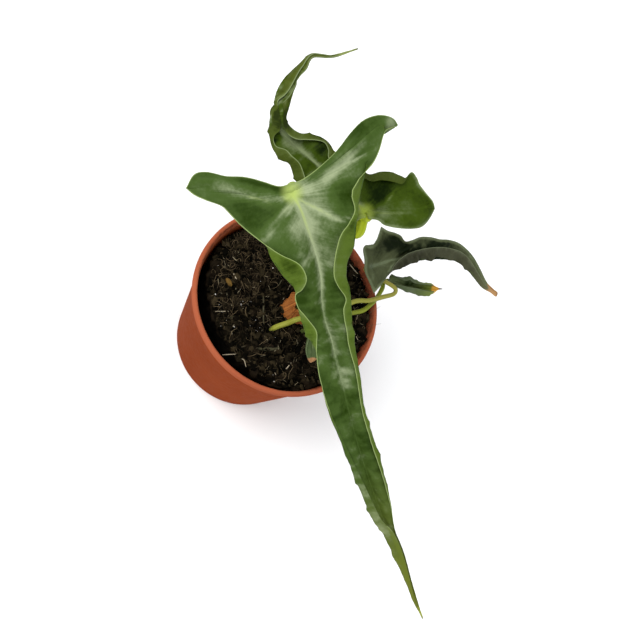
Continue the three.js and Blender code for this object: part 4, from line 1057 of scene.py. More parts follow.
def peat_mesh():
    """The body of peat with rough clods on top and in the crevice, paler on their heights, with painted
    shade darkening it down into the crevice.
    """
    ends = [(0, 0, float(peat_top(0, 0))), (0, 0, POT_FLOOR)]
    points, faces = closed_rings(peat_rings(around(PEAT_SIDES)), ends)
    faces = [[face[0], *reversed(face[1:])] for face in faces]
    loose = smooth_step((points[:, 2] - CREVICE_FLOOR + 4) / 6)
    lumps = 1.4 * rough(points, 4.2, 3) + 1.2 * rough(points, 2, 4) + 0.5 * rough(points, 0.9, 6)
    points = points + corner_normals(points, faces) * (loose * (lumps - 0.3))[:, None]
    # The tone falls off below the top: painted shade down the crevice and the wall
    tone = (0.4 + 0.35 * lumps) * smooth_step((points[:, 2] - SOIL_TOP + 4) / 3)
    return make_mesh("peat", points, faces, {"tone": tone})


def peat_places(count, dice, margin=0.6):
    """Random places on the peat, as x, y and height."""
    places = []
    while len(places) < count:
        x, y = dice.uniform(-38, 38), dice.uniform(-38, 38)
        angle = math.atan2(y, x)
        if math.hypot(x, y) < float(peat_reach(angle)) - margin:
            places.append((x, y, float(peat_top(x, y))))
    return places


def crumb_shape(dice):
    """A small uneven lump, as points and faces."""
    select_none()
    bpy.ops.mesh.primitive_ico_sphere_add(subdivisions=1, radius=1)
    bpy.ops.object.mode_set(mode="EDIT")
    bpy.ops.mesh.select_all(action="SELECT")
    bpy.ops.transform.vertex_random(offset=0.5, uniform=0.5, seed=dice.randint(1, 999))
    bpy.ops.transform.resize(value=(1.3, 0.9, 0.6))
    bpy.ops.object.mode_set(mode="OBJECT")
    lump = bpy.context.active_object
    points = np.array([vertex.co for vertex in lump.data.vertices])
    faces = [list(face.vertices) for face in lump.data.polygons]
    bpy.data.objects.remove(lump)
    return points, faces


class Heap:
    """Many small loose shapes gathered in one mesh."""

    def __init__(self):
        self.points, self.faces, self.tones = [], [], []
        self.count = 0

    def add(self, points, faces, tone):
        self.faces += [[corner + self.count for corner in face] for face in faces]
        self.points.append(points)
        self.tones.append(np.full(len(points), tone))
        self.count += len(points)

    def mesh(self, name):
        tones = {"tone": np.concatenate(self.tones)}
        return make_mesh(name, np.concatenate(self.points), self.faces, tones)


def random_turn(dice):
    """A turn by any angle about any axis."""
    angle = dice.uniform(0, 2 * math.pi)
    axis = Vector((dice.gauss(0, 1), dice.gauss(0, 1), dice.gauss(0, 1) + 1e-6))
    return np.array(Matrix.Rotation(angle, 3, axis.normalized()))


CRUMBS = 4200
CHUNK_SHARE = 0.05
FIBRES = 2600
FIBRE_STEPS = 10
FIBRES_LEFT_OUT = 0.84
SLIVERS = 560


def crumbs_mesh():
    """Loose crumbs all over the peat, a few of them large."""
    dice = random.Random(41)
    shapes = [crumb_shape(dice) for _ in range(12)]
    heap = Heap()
    for x, y, z in peat_places(CRUMBS, dice):
        size = 0.25 + 1.3 * dice.random() ** 4
        if dice.random() < CHUNK_SHARE:
            size = dice.uniform(1.1, 1.9)
        points, faces = dice.choice(shapes)
        points = points @ random_turn(dice) * size + (x, y, z + size * dice.uniform(-0.4, 0.4))
        heap.add(points, faces, dice.random() ** 2.2)
    return heap.mesh("peat_crumbs")


def fibres_mesh():
    """Curly root and moss fibres on the peat, most of them on the side away from the long tip."""
    dice = random.Random(77)
    heap = Heap()
    for x, y, z in peat_places(FIBRES, dice, 1.5):
        if x > -10 and dice.random() < FIBRES_LEFT_OUT:
            continue
        heading = dice.uniform(0, 2 * math.pi)
        curl = dice.gauss(0, 0.35)
        stride = dice.uniform(0.35, 1.1)
        rise = dice.uniform(0.2, 2)
        line = []
        for step in range(FIBRE_STEPS):
            reach = float(peat_reach(math.atan2(y, x))) - 0.4
            if math.hypot(x, y) > reach:
                break
            arch = math.sin(math.pi * step / (FIBRE_STEPS - 1))
            line.append((x, y, float(peat_top(x, y)) + 0.2 + rise * arch))
            heading += curl + dice.gauss(0, 0.25)
            x += stride * math.cos(heading)
            y += stride * math.sin(heading)
        if len(line) < 4:
            continue
        radius = 0.05 + 0.13 * dice.random() ** 3
        points, faces, _ = tube(line, np.linspace(radius, 0.4 * radius, len(line)), 4)
        heap.add(points, faces, dice.random() ** 2)
    return heap.mesh("peat_fibres")


def sliver(start, end, width, thickness):
    """A thin straight splinter between two places, as points and faces."""
    start, end = np.array(start, float), np.array(end, float)
    along = end - start
    across = np.cross(along, (0, 0, 1))
    across *= width / 2 / np.linalg.norm(across)
    up = np.array((0, 0, thickness))
    rings = []
    for share, full in ((0, 0.3), (0.15, 1), (0.8, 0.8), (1, 0.2)):
        corners = (across * full, up * full, -across * full, -up / 2)
        rings.append(np.array([start + along * share + corner for corner in corners]))
    return closed_rings(rings)


def slivers_mesh():
    """Short splinters of bark and straw, scattered over the peat, a few of them pale."""
    dice = random.Random(19)
    heap = Heap()
    for x, y, z in peat_places(SLIVERS, dice, 2.5):
        heading = dice.uniform(0, 2 * math.pi)
        length = dice.uniform(0.6, 2.8)
        tilt = dice.gauss(0, 0.25) * length
        start = (x, y, z + dice.uniform(0.3, 1))
        end = (x + length * math.cos(heading), y + length * math.sin(heading), start[2] + tilt)
        points, faces = sliver(start, end, dice.uniform(0.12, 0.4), dice.uniform(0.06, 0.15))
        heap.add(points, faces, dice.random() ** 3)
    return heap.mesh("peat_splinters")


# Corm and its papery sheath

SHEATH_SIDES = 112
SHEATH_LEAN = 0.35
SHEATH_DEPTH = 1.8

# Radius and height of the corm as shares, and the torn flaps of its rim: angle and height

CORM_PROFILE = ((0.4, 0), (0.8, 0.18), (1, 0.45), (0.97, 0.62), (0.84, 0.78), (0.7, 0.9), (0.62, 1))
FLAPS = ((225, 4), (100, 3))
FLAP_SPREAD = 62


def corm_mesh():
    """A swollen base closed on top, with the torn rim of its sheath around the stalks."""
    angles = around(SHEATH_SIDES)
    tall = CORM_TOP - CORM_BOTTOM
    rise = sum(high * smooth_step(1 - degrees_from(angles, at) / FLAP_SPREAD) ** 1.6 for at, high in FLAPS)
    rise_and_tears = rise + 0.25 * np.cos(23 * angles) + 0.2 * np.cos(41 * angles + 1)
    outline = spline([(*point, 0) for point in CORM_PROFILE], np.linspace(0, len(CORM_PROFILE) - 1, 30))
    rows = []
    for radius, share, _ in outline:
        folds = 0.3 * share * np.cos(7 * angles + 5 * share)
        folds += 0.1 * share * np.cos(19 * angles + 2 * np.sin(3 * share + angles))
        rows.append((CORM_RADIUS * radius + folds, CORM_BOTTOM + tall * share))
    top_radius, _ = rows[-1]
    sheath = ((0.35, 0), (0.7, 0), (1, 0), (1, 0.35), (0.6, 0.5), (0, SHEATH_WALL))
    for step, inset in sheath:
        rows.append((top_radius - SHEATH_LEAN * rise * step ** 2 - inset, CORM_TOP + rise_and_tears * step))
    rows.append((top_radius - SHEATH_WALL, CORM_TOP - SHEATH_DEPTH))
    rings = [round_ring(radius, height, angles, CORM_PLACE) for radius, height in rows]
    points, faces = closed_rings(rings)
    share = (points[:, 2] - CORM_BOTTOM) / tall
    turns = np.arctan2(points[:, 1] - CORM_PLACE[1], points[:, 0] - CORM_PLACE[0])
    points = points + corner_normals(points, faces) * (0.1 * rough(points, 1.1, 8))[:, None]
    return make_mesh("corm_sheath", points, faces, {"share": share, "around": turns})


# Small things on the peat

def on_peat(x, y, above=0.0):
    """A place on the peat, or so far above it."""
    return (x, y, float(peat_top(x, y)) + above)


# Straws, sticks and flat bits: width, tone, and the places that each lies on

STRAWS = (
    (0.9, 0.1, ((-9.5, -4), (-6, -7.5), (-2, -10.5), (1, -13.5))),
    (0.5, 0.75, ((-16.5, -27), (-13, -22))), (0.7, 1, ((-24.5, -8.5), (-21.5, -9.5))),
    (0.45, 0.7, ((-0.5, -37.5), (3, -32.5))), (0.5, 0.9, ((22, -20), (21.5, -16))),
    (0.45, 0.8, ((18.5, -24.5), (21, -25))), (0.4, 0.5, ((-1.5, 0), (-4.5, 7))),
    (0.45, 0.15, ((-7.5, 3), (-8.5, 6.5))), (0.4, 0.8, ((5.5, 36), (9.5, 35.5), (11.5, 35.5))),
    (0.35, 0.9, ((29, 15.5), (33.5, 13.5))), (0.5, 0.7, ((5, -33), (7, -31.5), (10, -33.5))),
    (1.9, -0.25, ((7.5, -23), (10.5, -19.5), (13.5, -15.5))), (1.8, -0.15, ((-10.5, -23), (-8, -20))),
    (0.7, 0.3, ((-19.5, -12), (-17, -13))),
)
STRAW_THICKNESS = 0.18

# Hairs that reach past the lip: the first and the last place of each

HAIRS = (
    ((28.0, 26.5, 70.4), (29.0, 32.0, 71.5)),
    ((32.5, 22.5, 70.4), (35.0, 26.5, 71.5)),
)
HAIR_RADIUS = 0.08


def straws_mesh():
    """Flat blades of dry straw and other bits that lie on the peat."""
    heap = Heap()
    for full, tone, places in STRAWS:
        line = evenly([on_peat(x, y, 0.8) for x, y in places], 26)
        steps = np.gradient(line, axis=0)
        across = np.cross(steps, (0, 0, 1))
        across /= np.linalg.norm(across, axis=1)[:, None]
        width = full / 2 * (0.55 + 0.45 * np.sin(np.linspace(0.25, math.pi - 0.15, len(line))))
        rings = []
        for point, side in zip(line, across * width[:, None]):
            corners = (side, (0, 0, STRAW_THICKNESS), -side, (0, 0, -0.05))
            rings.append(np.array([point + corner for corner in corners]))
        heap.add(*closed_rings(rings), tone)
    for start, end in HAIRS:
        middle = (np.array(start) + end) / 2 + (0, 0, 0.8)
        line = evenly([start, middle, end], 12)
        points, faces, _ = tube(line, np.linspace(HAIR_RADIUS, HAIR_RADIUS / 2, 12), 5)
        heap.add(points, faces, 0.2)
    return heap.mesh("straw")


HUSK_PLACE = (-22.5, -13.5)
HUSK_SIZE = (1.9, 0.9, 0.8)
HUSK_HEADING = 10
HUSK_WALL = 0.22


def husk_mesh():
    """Half of a small seed husk: a split ball, hollowed and laid with its open side down."""
    select_none()
    bpy.ops.mesh.primitive_uv_sphere_add(segments=36, ring_count=20, radius=1)
    husk = bpy.context.active_object
    bpy.ops.object.mode_set(mode="EDIT")
    bpy.ops.mesh.select_all(action="SELECT")
    bpy.ops.mesh.bisect(plane_co=(0, 0, -0.1), plane_no=(0, 0, 1), clear_inner=True)
    bpy.ops.mesh.select_all(action="SELECT")
    bpy.ops.transform.resize(value=tuple(size * MM for size in HUSK_SIZE), center_override=(0, 0, 0))
    bpy.ops.transform.rotate(value=math.radians(HUSK_HEADING), orient_axis="Z", center_override=(0, 0, 0))
    x, y, z = on_peat(*HUSK_PLACE, 1.0)
    bpy.ops.transform.translate(value=(x * MM, y * MM, z * MM))
    bpy.ops.object.mode_set(mode="OBJECT")
    wall = husk.modifiers.new("wall", "SOLIDIFY")
    wall.thickness = HUSK_WALL * MM
    wall.offset = 1
    bpy.ops.object.modifier_apply(modifier=wall.name)
    return taken_out("seed_husk")


SPECKS = 60
SPECK_CLUSTER = (-8, -17.5)


def specks_mesh():
    """Loose white grains, most of them in front of the corm."""
    dice = random.Random(5)
    shapes = [crumb_shape(dice) for _ in range(4)]
    heap = Heap()
    places = peat_places(SPECKS // 2, dice)
    while len(places) < SPECKS:
        x = dice.gauss(SPECK_CLUSTER[0], 8)
        y = dice.gauss(SPECK_CLUSTER[1], 5)
        if math.hypot(x, y) < float(peat_reach(math.atan2(y, x))) - 1:
            places.append(on_peat(x, y))
    for x, y, z in places:
        size = 0.12 + 0.3 * dice.random() ** 4
        points, faces = dice.choice(shapes)
        heap.add(points @ random_turn(dice) * size + (x, y, z + 0.5), faces, dice.random())
    return heap.mesh("white_grains")


# Materials

class Tree:
    """A node tree that is written line by line."""

    def __init__(self, tree):
        self.tree = tree

    def add(self, kind, inputs=None, **settings):
        node = self.tree.nodes.new("ShaderNode" + kind)
        for key, value in settings.items():
            setattr(node, key, value)
        for key, value in (inputs or {}).items():
            self.feed(node.inputs[key], value)
        return node

    def feed(self, socket, value):
        if isinstance(value, bpy.types.NodeSocket):
            self.tree.links.new(value, socket)
        elif socket.type == "RGBA":
            socket.default_value = (*value, 1)
        else:
            socket.default_value = value

    def values(self, name):
        return self.add("Attribute", attribute_name=name).outputs["Fac"]

    def place(self):
        """Place on the object in millimetres."""
        coordinates = self.add("TexCoord").outputs["Object"]
        return self.add("VectorMath", {0: coordinates, "Scale": 1000}, operation="SCALE").outputs[0]

    def maths(self, operation, a, b):
        return self.add("Math", {0: a, 1: b}, operation=operation).outputs[0]

    def times(self, a, b):
        return self.maths("MULTIPLY", a, b)

    def total(self, *parts):
        """Sum of some values and numbers."""
        result = parts[0]
        for part in parts[1:]:
            result = self.maths("ADD", result, part)
        return result

    def three(self, value, low, middle, high):
        """From the first colour over the second to the third while the value goes from 0 to 1."""
        lower = self.mix(self.fade(value, 0, 0.45), low, middle)
        return self.mix(self.fade(value, 0.4, 1), lower, high)

    def fade(self, value, start, end, low=0.0, high=1.0):
        """From low to high while the value goes from start to end."""
        inputs = {"Value": value, "From Min": start, "From Max": end, "To Min": low, "To Max": high}
        return self.add("MapRange", inputs, interpolation_type="SMOOTHSTEP").outputs["Result"]

    def mix(self, share, a, b):
        node = self.add("Mix", data_type="RGBA")
        for place, value in ((0, share), (6, a), (7, b)):
            self.feed(node.inputs[place], value)
        return node.outputs[2]

    def clouds(self, vector, size, detail=3.0, roughness=0.55):
        """Soft noise with spots of about a size in the vector's own unit."""
        inputs = {"Vector": vector, "Scale": 1 / size, "Detail": detail, "Roughness": roughness}
        return self.add("TexNoise", inputs).outputs["Fac"]

    def grid(self, x, y, z=0.0):
        return self.add("CombineXYZ", {"X": x, "Y": y, "Z": z}).outputs[0]

    def stretched(self, vector, scale):
        return self.add("VectorMath", {0: vector, 1: scale}, operation="MULTIPLY").outputs[0]


def skin_group(name, inputs, build):
    """A shader group with its own inputs that puts out the colour, roughness and height of a skin."""
    group = bpy.data.node_groups.new(name, "ShaderNodeTree")
    for label, value in inputs.items():
        kind = "NodeSocketColor" if isinstance(value, tuple) else "NodeSocketFloat"
        socket = group.interface.new_socket(label, in_out="INPUT", socket_type=kind)
        socket.default_value = (*value, 1) if isinstance(value, tuple) else value
    for label, kind in (("Colour", "Color"), ("Roughness", "Float"), ("Height", "Float")):
        group.interface.new_socket(label, in_out="OUTPUT", socket_type="NodeSocket" + kind)
    tree = Tree(group)
    results = build(tree, group.nodes.new("NodeGroupInput").outputs)
    outgoing = group.nodes.new("NodeGroupOutput").inputs
    for socket, value in zip(outgoing, results):
        tree.feed(socket, value)
    return group


def leaf_light(tree, given):
    """How pale each spot of the upper and of the lower side is, from 0 to 1, with painted shade, painted
    sheen and painted light on the wrinkles in it.
    """
    line, crease = tree.values("line"), tree.values("crease")
    along = tree.grid(tree.values("station"), tree.values("out"), tree.values("sheet"))
    streaks = tree.clouds(tree.stretched(along, (2.6, 1.1, 1)), 1, 4, 0.65)
    # The shade values bring in painted shade and painted sheen, with some of the blade's own tone
    mottle = tree.total(
        tree.fade(tree.clouds(tree.place(), 9, 3), 0.3, 0.7, -0.12, 0.12),
        tree.fade(tree.clouds(tree.place(), 1.1, 3), 0.25, 0.75, -0.04, 0.04),
        tree.times(tree.values("shade"), 0.42),
    )
    band = tree.times(tree.values("band"), given["Band Strength"])
    # The crease terms paint the wrinkles paler where they rise and darker in their folds, as light and
    # shade
    upper = tree.total(
        mottle, 0.36, tree.fade(streaks, 0.3, 0.7, -0.045, 0.045), tree.times(crease, 0.22),
        tree.times(band, tree.fade(streaks, 0.3, 0.7, 0.88, 1.08)),
        tree.times(line, given["Line Strength"]),
        tree.times(tree.fade(tree.values("edge"), 0.4, 1.8, 1, 0), given["Border"]),
    )
    lower = tree.total(
        mottle, 0.4, tree.times(line, 0.35), tree.fade(tree.values("edge"), 0, 2, 0.2, 0),
        tree.fade(streaks, 0.3, 0.7, -0.08, 0.08), tree.times(crease, 0.12),
    )
    return upper, lower


def leaf_skin(tree, given):
    """Deep fields and painted shade, pale bands along the veins and painted sheen, lime at the stalk, a
    pale margin and a dry tip.
    """
    upper_light, lower_light = leaf_light(tree, given)
    upper = tree.three(upper_light, given["Deep"], given["Face"], given["Pale"])
    lower = tree.three(lower_light, given["Under Deep"], given["Under"], given["Under Pale"])
    colour = tree.mix(tree.values("under"), upper, lower)
    share = tree.values("share")
    colour = tree.mix(tree.fade(share, given["Tail Start"], 1, 0, 0.9), colour, given["Tail"])
    nearness = tree.maths("DIVIDE", tree.values("knee"), given["Knee"])
    colour = tree.mix(tree.fade(nearness, 0.05, 1, 1, 0), colour, given["Lime"])
    lime_line = tree.times(tree.values("line"), tree.fade(nearness, 0.6, 4, 0.7, 0))
    colour = tree.mix(lime_line, colour, given["Lime"])
    margin = tree.times(tree.fade(tree.values("edge"), 0.1, 0.48, 0.85, 0), tree.fade(nearness, 0.3, 1.1))
    colour = tree.mix(margin, colour, given["Margin"])
    grain = tree.clouds(tree.place(), 1.1, 3)
    torn = tree.total(share, tree.fade(grain, 0.3, 0.7, -0.012, 0.012))
    for label, length in (("Tip", 0.05), ("End", 0.03)):
        start = given[label + " Start"]
        colour = tree.mix(tree.fade(torn, start, tree.total(start, length)), colour, given[label])
    cells = tree.add("TexVoronoi", {"Vector": tree.place(), "Scale": 0.55}, feature="DISTANCE_TO_EDGE")
    height = tree.total(tree.fade(cells.outputs["Distance"], 0, 0.25, 0, 0.6), tree.times(grain, 0.4))
    return colour, tree.fade(grain, 0.2, 0.8, 0.4, 0.55), height


def stalk_skin(tree, given):
    """Juicy stalk with long fine stripes, redder at its foot."""
    share = tree.values("share")
    stripes = tree.clouds(tree.stretched(tree.grid(tree.values("around"), share), (14, 3, 1)), 1, 3)
    specks = tree.clouds(tree.place(), 0.5, 2)
    colour = tree.mix(tree.fade(share, 0.2, 0.95), given["Low"], given["High"])
    colour = tree.mix(tree.fade(stripes, 0.35, 0.7, 0, 0.45), colour, given["Stripe"])
    colour = tree.mix(tree.fade(specks, 0.66, 0.78, 0, 0.35), colour, given["Speck"])
    colour = tree.mix(tree.fade(share, 0.01, 0.06, 0.8, 0), colour, given["Foot"])
    return colour, tree.fade(stripes, 0.3, 0.7, 0.32, 0.45), stripes


def crumbly_skin(tree, given):
    """Damp crumbly matter, from dark to light by the tone of each bit."""
    places = {0: tree.place(), "Scale": given["Grains per mm"]}
    grain = tree.clouds(tree.add("VectorMath", places, operation="SCALE").outputs[0], 1, 5, 0.7)
    tone = tree.total(tree.times(tree.values("tone"), 0.65), tree.times(grain, 0.5))
    smoothest = tree.maths("SUBTRACT", given["Roughest"], 0.15)
    colour = tree.mix(tree.fade(tone, 0.25, 0.95), given["Dark"], given["Light"])
    return colour, tree.fade(grain, 0.3, 0.7, smoothest, given["Roughest"]), grain


# What the skins take when a material gives no value of its own

LEAF_INPUTS = {
    "Face": (0.05, 0.1, 0.02), "Deep": (0.02, 0.05, 0.01), "Pale": (0.38, 0.46, 0.22),
    "Lime": (0.34, 0.42, 0.11), "Margin": (0.2, 0.27, 0.08), "Under": (0.17, 0.26, 0.07),
    "Under Deep": (0.08, 0.13, 0.03), "Under Pale": (0.2, 0.25, 0.08), "Tail": (0.2, 0.24, 0.04),
    "Tip": (0.2, 0.15, 0.08), "End": (0.16, 0.15, 0.13), "Band Strength": 0.6, "Line Strength": 0.3,
    "Border": 0.0, "Knee": 8.0, "Tail Start": 0.7, "Tip Start": 0.97, "End Start": 0.99,
}
STALK_INPUTS = {
    "Low": (0.17, 0.24, 0.05), "High": (0.3, 0.38, 0.09), "Stripe": (0.1, 0.14, 0.03),
    "Speck": (0.16, 0.09, 0.03), "Foot": (0.2, 0.13, 0.04),
}
CRUMBLY_INPUTS = {
    "Dark": (0.002, 0.0015, 0.001), "Light": (0.04, 0.03, 0.015), "Grains per mm": 1.25, "Roughest": 0.95,
}


def finish(name, build, **constants):
    """A material whose shader is fed by a function of its tree, with its constants on the shader."""
    material = bpy.data.materials.new(name)
    material.use_nodes = True
    material.node_tree.nodes.clear()
    tree = Tree(material.node_tree)
    shader = tree.add("BsdfPrincipled", constants)
    for socket, value in build(tree).items():
        if socket == "Height":
            depth, strength, value = value
            bump = tree.add("Bump", {"Height": value, "Distance": depth * MM, "Strength": strength})
            tree.feed(shader.inputs["Normal"], bump.outputs[0])
        else:
            tree.feed(shader.inputs[socket], value)
    out = tree.add("OutputMaterial")
    tree.feed(out.inputs["Surface"], shader.outputs[0])
    return material


def grouped_finish(name, group, values, gloss, relief):
    """A material whose colour, roughness and height come from a group with its own values."""
    def build(tree):
        skin = tree.add("Group", node_tree=group)
        for label, value in values.items():
            tree.feed(skin.inputs[label], value)
        return {
            "Base Color": skin.outputs["Colour"],
            "Roughness": skin.outputs["Roughness"],
            "Height": (*relief, skin.outputs["Height"]),
        }

    return finish(name, build, **{"Specular IOR Level": gloss})


# Colours of each blade, and the shares of its length where its tail, tip and end start

# Deep and Under Deep also colour the painted shade of patches and dark strokes, Pale and Under Pale their
# painted sheen
LEAF_COLOURS = {
    "front": {
        "Face": (0.044, 0.078, 0.014), "Deep": (0.014, 0.032, 0.001), "Pale": (0.27, 0.315, 0.18),
        "Margin": (0.25, 0.32, 0.115), "Under": (0.068, 0.108, 0.012), "Under Deep": (0.02, 0.038, 0.001),
        "Under Pale": (0.125, 0.165, 0.055), "Tail": (0.12, 0.135, 0.014), "Tip": (0.34, 0.37, 0.05),
        "Band Strength": 0.6, "Line Strength": 0.14, "Knee": 6.0, "Tail Start": 0.5, "Tip Start": 0.95,
        "End Start": 0.985,
    },
    "back": {
        "Face": (0.036, 0.062, 0.004), "Deep": (0.004, 0.01, 0.0003), "Pale": (0.17, 0.21, 0.1),
        "Margin": (0.2, 0.25, 0.11), "Under": (0.048, 0.067, 0.009), "Under Deep": (0.014, 0.022, 0.002),
        "Under Pale": (0.11, 0.14, 0.045), "Lime": (0.27, 0.34, 0.045), "Tail": (0.07, 0.088, 0.005),
        "Tip": (0.24, 0.28, 0.09), "Band Strength": 0.6, "Knee": 5.0, "Tail Start": 0.38,
        "Tip Start": 0.88, "Border": 0.25,
    },
    # The side blade's face is its own grey green lightened by painted sheen; its near-black Deep is the
    # painted shade under its arch
    "side": {
        "Face": (0.064, 0.074, 0.033), "Deep": (0.005, 0.009, 0.002), "Pale": (0.135, 0.16, 0.085),
        "Margin": (0.115, 0.13, 0.075), "Under": (0.046, 0.048, 0.026),
        "Under Deep": (0.018, 0.018, 0.008), "Under Pale": (0.115, 0.125, 0.075),
        "Lime": (0.1, 0.12, 0.07), "Tail": (0.125, 0.13, 0.055), "Tip": (0.4, 0.22, 0.09),
        "End": (0.1, 0.06, 0.035), "Band Strength": 0.4, "Knee": 2.0, "Tail Start": 0.68,
        "Tip Start": 0.87, "End Start": 0.985, "Border": 0.6,
    },
    "curled": {
        "Face": (0.068, 0.09, 0.034), "Deep": (0.008, 0.017, 0.002), "Pale": (0.13, 0.16, 0.07),
        "Margin": (0.075, 0.095, 0.045), "Under": (0.062, 0.084, 0.036), "Under Deep": (0.02, 0.03, 0.01),
        "Under Pale": (0.1, 0.12, 0.07), "Lime": (0.1, 0.12, 0.06), "Tail": (0.17, 0.22, 0.015),
        "Tip": (0.6, 0.33, 0.05), "End": (0.22, 0.2, 0.18), "Band Strength": 0.3, "Knee": 1.5,
        "Tail Start": 0.3, "Tip Start": 0.73, "End Start": 0.88,
    },
    "young": {
        "Face": (0.08, 0.115, 0.042), "Deep": (0.03, 0.05, 0.012), "Pale": (0.15, 0.19, 0.09),
        "Margin": (0.15, 0.19, 0.09), "Under": (0.085, 0.12, 0.042), "Under Deep": (0.035, 0.055, 0.015),
        "Under Pale": (0.13, 0.17, 0.08), "Tail": (0.09, 0.12, 0.03), "Tip": (0.42, 0.22, 0.1),
        "End": (0.45, 0.25, 0.14), "Band Strength": 0.3, "Knee": 2.0, "Tip Start": 0.77,
        "End Start": 0.95,
    },
}

# Colours of each stalk near its foot and near its top

STALK_COLOURS = {
    "front": ((0.17, 0.24, 0.05), (0.3, 0.38, 0.09)),
    "back": ((0.14, 0.19, 0.02), (0.36, 0.43, 0.012)),
    "side": ((0.33, 0.34, 0.05), (0.25, 0.22, 0.045)),
    "curled": ((0.21, 0.24, 0.03), (0.2, 0.25, 0.012)),
    "young": ((0.12, 0.16, 0.04), (0.15, 0.2, 0.05)),
}


def pot_finish():
    """Moulded plastic with a fine skin, faint flow marks, a lip painted paler as lit over a body in painted
    shade, and dust from the peat inside that also stands in for shade.
    """
    def build(tree):
        place = tree.place()
        flow = tree.clouds(place, 40, 2)
        skin = tree.clouds(place, 0.35, 2)
        dust = tree.clouds(place, 2.2, 5, 0.65)
        height = tree.add("SeparateXYZ", {0: place}).outputs["Z"]
        level = tree.stretched(place, (1, 1, 0))
        radius = tree.add("VectorMath", {0: level}, operation="LENGTH").outputs["Value"]
        upright = tree.total(radius, tree.times(height, -WALL_SLOPE))
        inside = tree.fade(upright, FOOT_RADIUS - 0.5, FOOT_RADIUS - 1.5)
        # Painted light and shade: the lip is painted paler as lit and the body darker as shaded, though
        # both are one plastic
        lip = tree.mix(tree.fade(flow, 0.3, 0.7), (0.31, 0.078, 0.036), (0.35, 0.092, 0.042))
        body = tree.mix(tree.fade(flow, 0.3, 0.7), (0.21, 0.036, 0.007), (0.24, 0.044, 0.01))
        colour = tree.mix(tree.fade(height, SOIL_TOP, POT_HEIGHT - LIP_DEPTH + LIP_EDGE_UP), body, lip)
        # Dark peat dirt on the inner wall, which also stands in for the shade there
        dirt_and_shade = tree.times(inside, tree.fade(dust, 0.42, 0.62, 0, 0.5))
        colour = tree.mix(dirt_and_shade, colour, (0.04, 0.025, 0.014))
        return {
            "Base Color": colour,
            "Roughness": tree.fade(dust, 0.3, 0.75, 0.5, 0.62),
            "Height": (0.01, 0.1, skin),
        }

    return finish("terracotta_plastic", build, **{"Specular IOR Level": 0.003})


def sheath_finish():
    """Dry papery skin, orange brown with darker fibres that run upwards."""
    def build(tree):
        share = tree.values("share")
        turned = tree.grid(tree.values("around"), share)
        fibres = tree.clouds(tree.stretched(turned, (9, 1.2, 1)), 1, 4, 0.6)
        spots = tree.clouds(tree.place(), 1.6, 4, 0.6)
        colour = tree.mix(tree.fade(fibres, 0.3, 0.7), (0.2, 0.06, 0.014), (0.52, 0.18, 0.04))
        colour = tree.mix(tree.fade(spots, 0.5, 0.75, 0, 0.4), colour, (0.45, 0.2, 0.07))
        colour = tree.mix(tree.fade(share, 0.55, 0.7, 0.8, 0), colour, (0.05, 0.025, 0.012))
        return {
            "Base Color": colour,
            "Roughness": tree.fade(fibres, 0.3, 0.7, 0.55, 0.8),
            "Height": (0.2, 0.8, fibres),
        }

    return finish("papery_sheath", build, **{"Specular IOR Level": 0.15})


def plain_stage():
    """A wide pale floor."""
    select_none()
    bpy.ops.mesh.primitive_plane_add(size=6)
    floor = bpy.context.active_object
    floor.name = "floor"

    def build(tree):
        wear = tree.clouds(tree.place(), 90, 2)
        return {
            "Base Color": tree.mix(wear, (0.93, 0.93, 0.93), (0.96, 0.96, 0.96)),
            "Roughness": tree.fade(wear, 0.3, 0.7, 0.7, 0.8),
        }

    floor.data.materials.append(finish("pale_floor", build))


# Lights and camera

SKY = (0.95, 0.975, 1.0)
SKY_STRENGTH = 0.85
LAMPS = (
    ("key", (-420, -260, 900), 0.7, 8, (1, 0.99, 0.97)),
    ("fill", (520, -300, 500), 0.8, 1.5, (0.95, 0.98, 1)),
)


def aimed(target, place, roll=0.0):
    """Turn that looks from a place at a target, both in millimetres."""
    look = Vector(target) - Vector(place)
    turn = look.to_track_quat("-Z", "Y").to_matrix() @ Matrix.Rotation(math.radians(roll), 3, "Z")
    return turn.to_euler()


def place_lights():
    scene = bpy.context.scene
    world = bpy.data.worlds.new("pale surroundings")
    world.use_nodes = True
    background = world.node_tree.nodes["Background"]
    background.inputs["Color"].default_value = (*SKY, 1)
    background.inputs["Strength"].default_value = SKY_STRENGTH
    scene.world = world
    for name, place, size, power, colour in LAMPS:
        light = bpy.data.lights.new(name, "AREA")
        light.shape = "DISK"
        light.size = size
        light.energy = power
        light.color = colour
        lamp = bpy.data.objects.new(name, light)
        scene.collection.objects.link(lamp)
        lamp.location = Vector(place) * MM
        lamp.rotation_euler = aimed((0, 0, 60), place)


def place_camera():
    view = bpy.data.cameras.new("view")
    view.lens = LENS
    view.sensor_width = 36
    camera = bpy.data.objects.new("view", view)
    bpy.context.scene.collection.objects.link(camera)
    camera.location = Vector(CAMERA_PLACE) * MM
    camera.rotation_euler = aimed(CAMERA_AIM, CAMERA_PLACE, CAMERA_ROLL)
    bpy.context.scene.camera = camera


# The whole plant

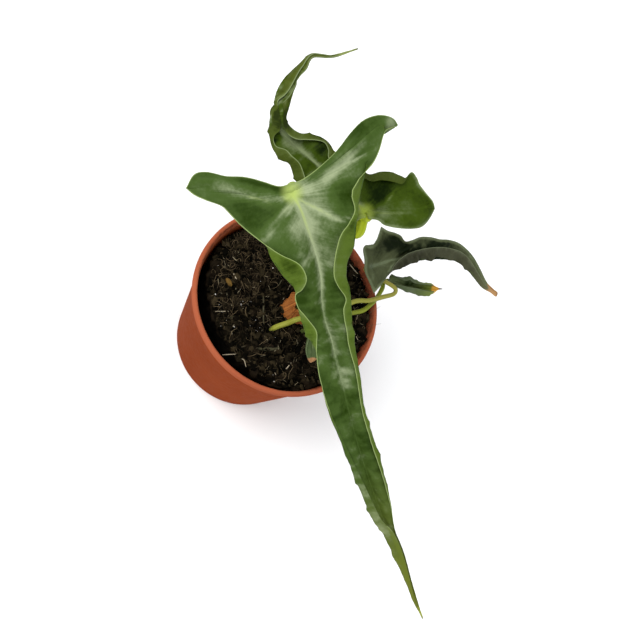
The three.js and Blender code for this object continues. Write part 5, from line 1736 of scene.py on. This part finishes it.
def grow_leaves():
    """The five leaves, each as a blade and a stalk."""
    leaf = skin_group("leaf skin", LEAF_INPUTS, leaf_skin)
    stalk = skin_group("stalk skin", STALK_INPUTS, stalk_skin)
    for name, look in BLADE_LOOKS.items():
        mesh, blade = blade_mesh(f"{name}_blade", {**PLAIN_LOOK, **look})
        gloss = 0.03 if name == "back" else 0.05
        material = grouped_finish(f"{name}_leaf", leaf, LEAF_COLOURS[name], gloss, (0.08, 0.6))
        make_piece(f"{name}_blade", mesh, material, [f"{name}_leaf_blade"])
        mesh = stalk_mesh(f"{name}_stalk", STALKS[name], blade)
        low, high = STALK_COLOURS[name]
        colours = {"Low": low, "High": high, "Stripe": tuple(0.6 * part for part in low)}
        material = grouped_finish(f"{name}_stalk_skin", stalk, colours, 0.12, (0.08, 0.5))
        make_piece(f"{name}_stalk", mesh, material, [f"{name}_leaf_stalk"])


def fill_pot():
    """The peat with all that lies on it, and the corm."""
    skin = skin_group("crumbly skin", CRUMBLY_INPUTS, crumbly_skin)

    def crumbly(name, dark, light, grain_size=0.8, roughest=0.95):
        values = {"Dark": dark, "Light": light, "Grains per mm": 1 / grain_size, "Roughest": roughest}
        return grouped_finish(name, skin, values, 0.03, (0.3, 0.8))

    peat = crumbly("damp_peat", (0.0012, 0.001, 0.0006), (0.016, 0.011, 0.006))
    crumbs = crumbly("peat_crumb", (0.0018, 0.0015, 0.0008), (0.038, 0.028, 0.014))
    fibre = crumbly("moss_fibre", (0.01, 0.007, 0.004), (0.2, 0.145, 0.08), 0.6, 0.9)
    splinter = crumbly("bark_splinter", (0.012, 0.009, 0.005), (0.3, 0.25, 0.16), 0.6, 0.85)
    straw = crumbly("dry_straw", (0.06, 0.055, 0.03), (0.5, 0.42, 0.3), 0.7, 0.85)
    husk = crumbly("seed_husk_skin", (0.14, 0.08, 0.02), (0.35, 0.24, 0.08), 0.7, 0.8)
    grains = crumbly("white_grain", (0.45, 0.42, 0.38), (0.85, 0.83, 0.8), 0.5, 0.9)
    make_piece("peat", peat_mesh(), peat, ["soil"])
    make_piece("peat_crumbs", crumbs_mesh(), crumbs, smooth=False)
    make_piece("peat_fibres", fibres_mesh(), fibre)
    make_piece("peat_splinters", slivers_mesh(), splinter, smooth=False)
    make_piece("straw", straws_mesh(), straw)
    finish_piece(husk_mesh(), husk)
    make_piece("white_grains", specks_mesh(), grains)
    make_piece("corm_sheath", corm_mesh(), sheath_finish(), ["corm"])


def stand_pot():
    """The pot, smooth apart from its sharp edges."""
    pot = model_pot()
    finish_piece(pot, pot_finish(), ["pot"])
    select_none()
    pot.select_set(True)
    bpy.context.view_layer.objects.active = pot
    bpy.ops.object.shade_smooth_by_angle(angle=math.radians(35))


place_camera()
place_lights()
plain_stage()
stand_pot()
fill_pot()
grow_leaves()
bpy.context.scene.view_settings.view_transform = "Standard"
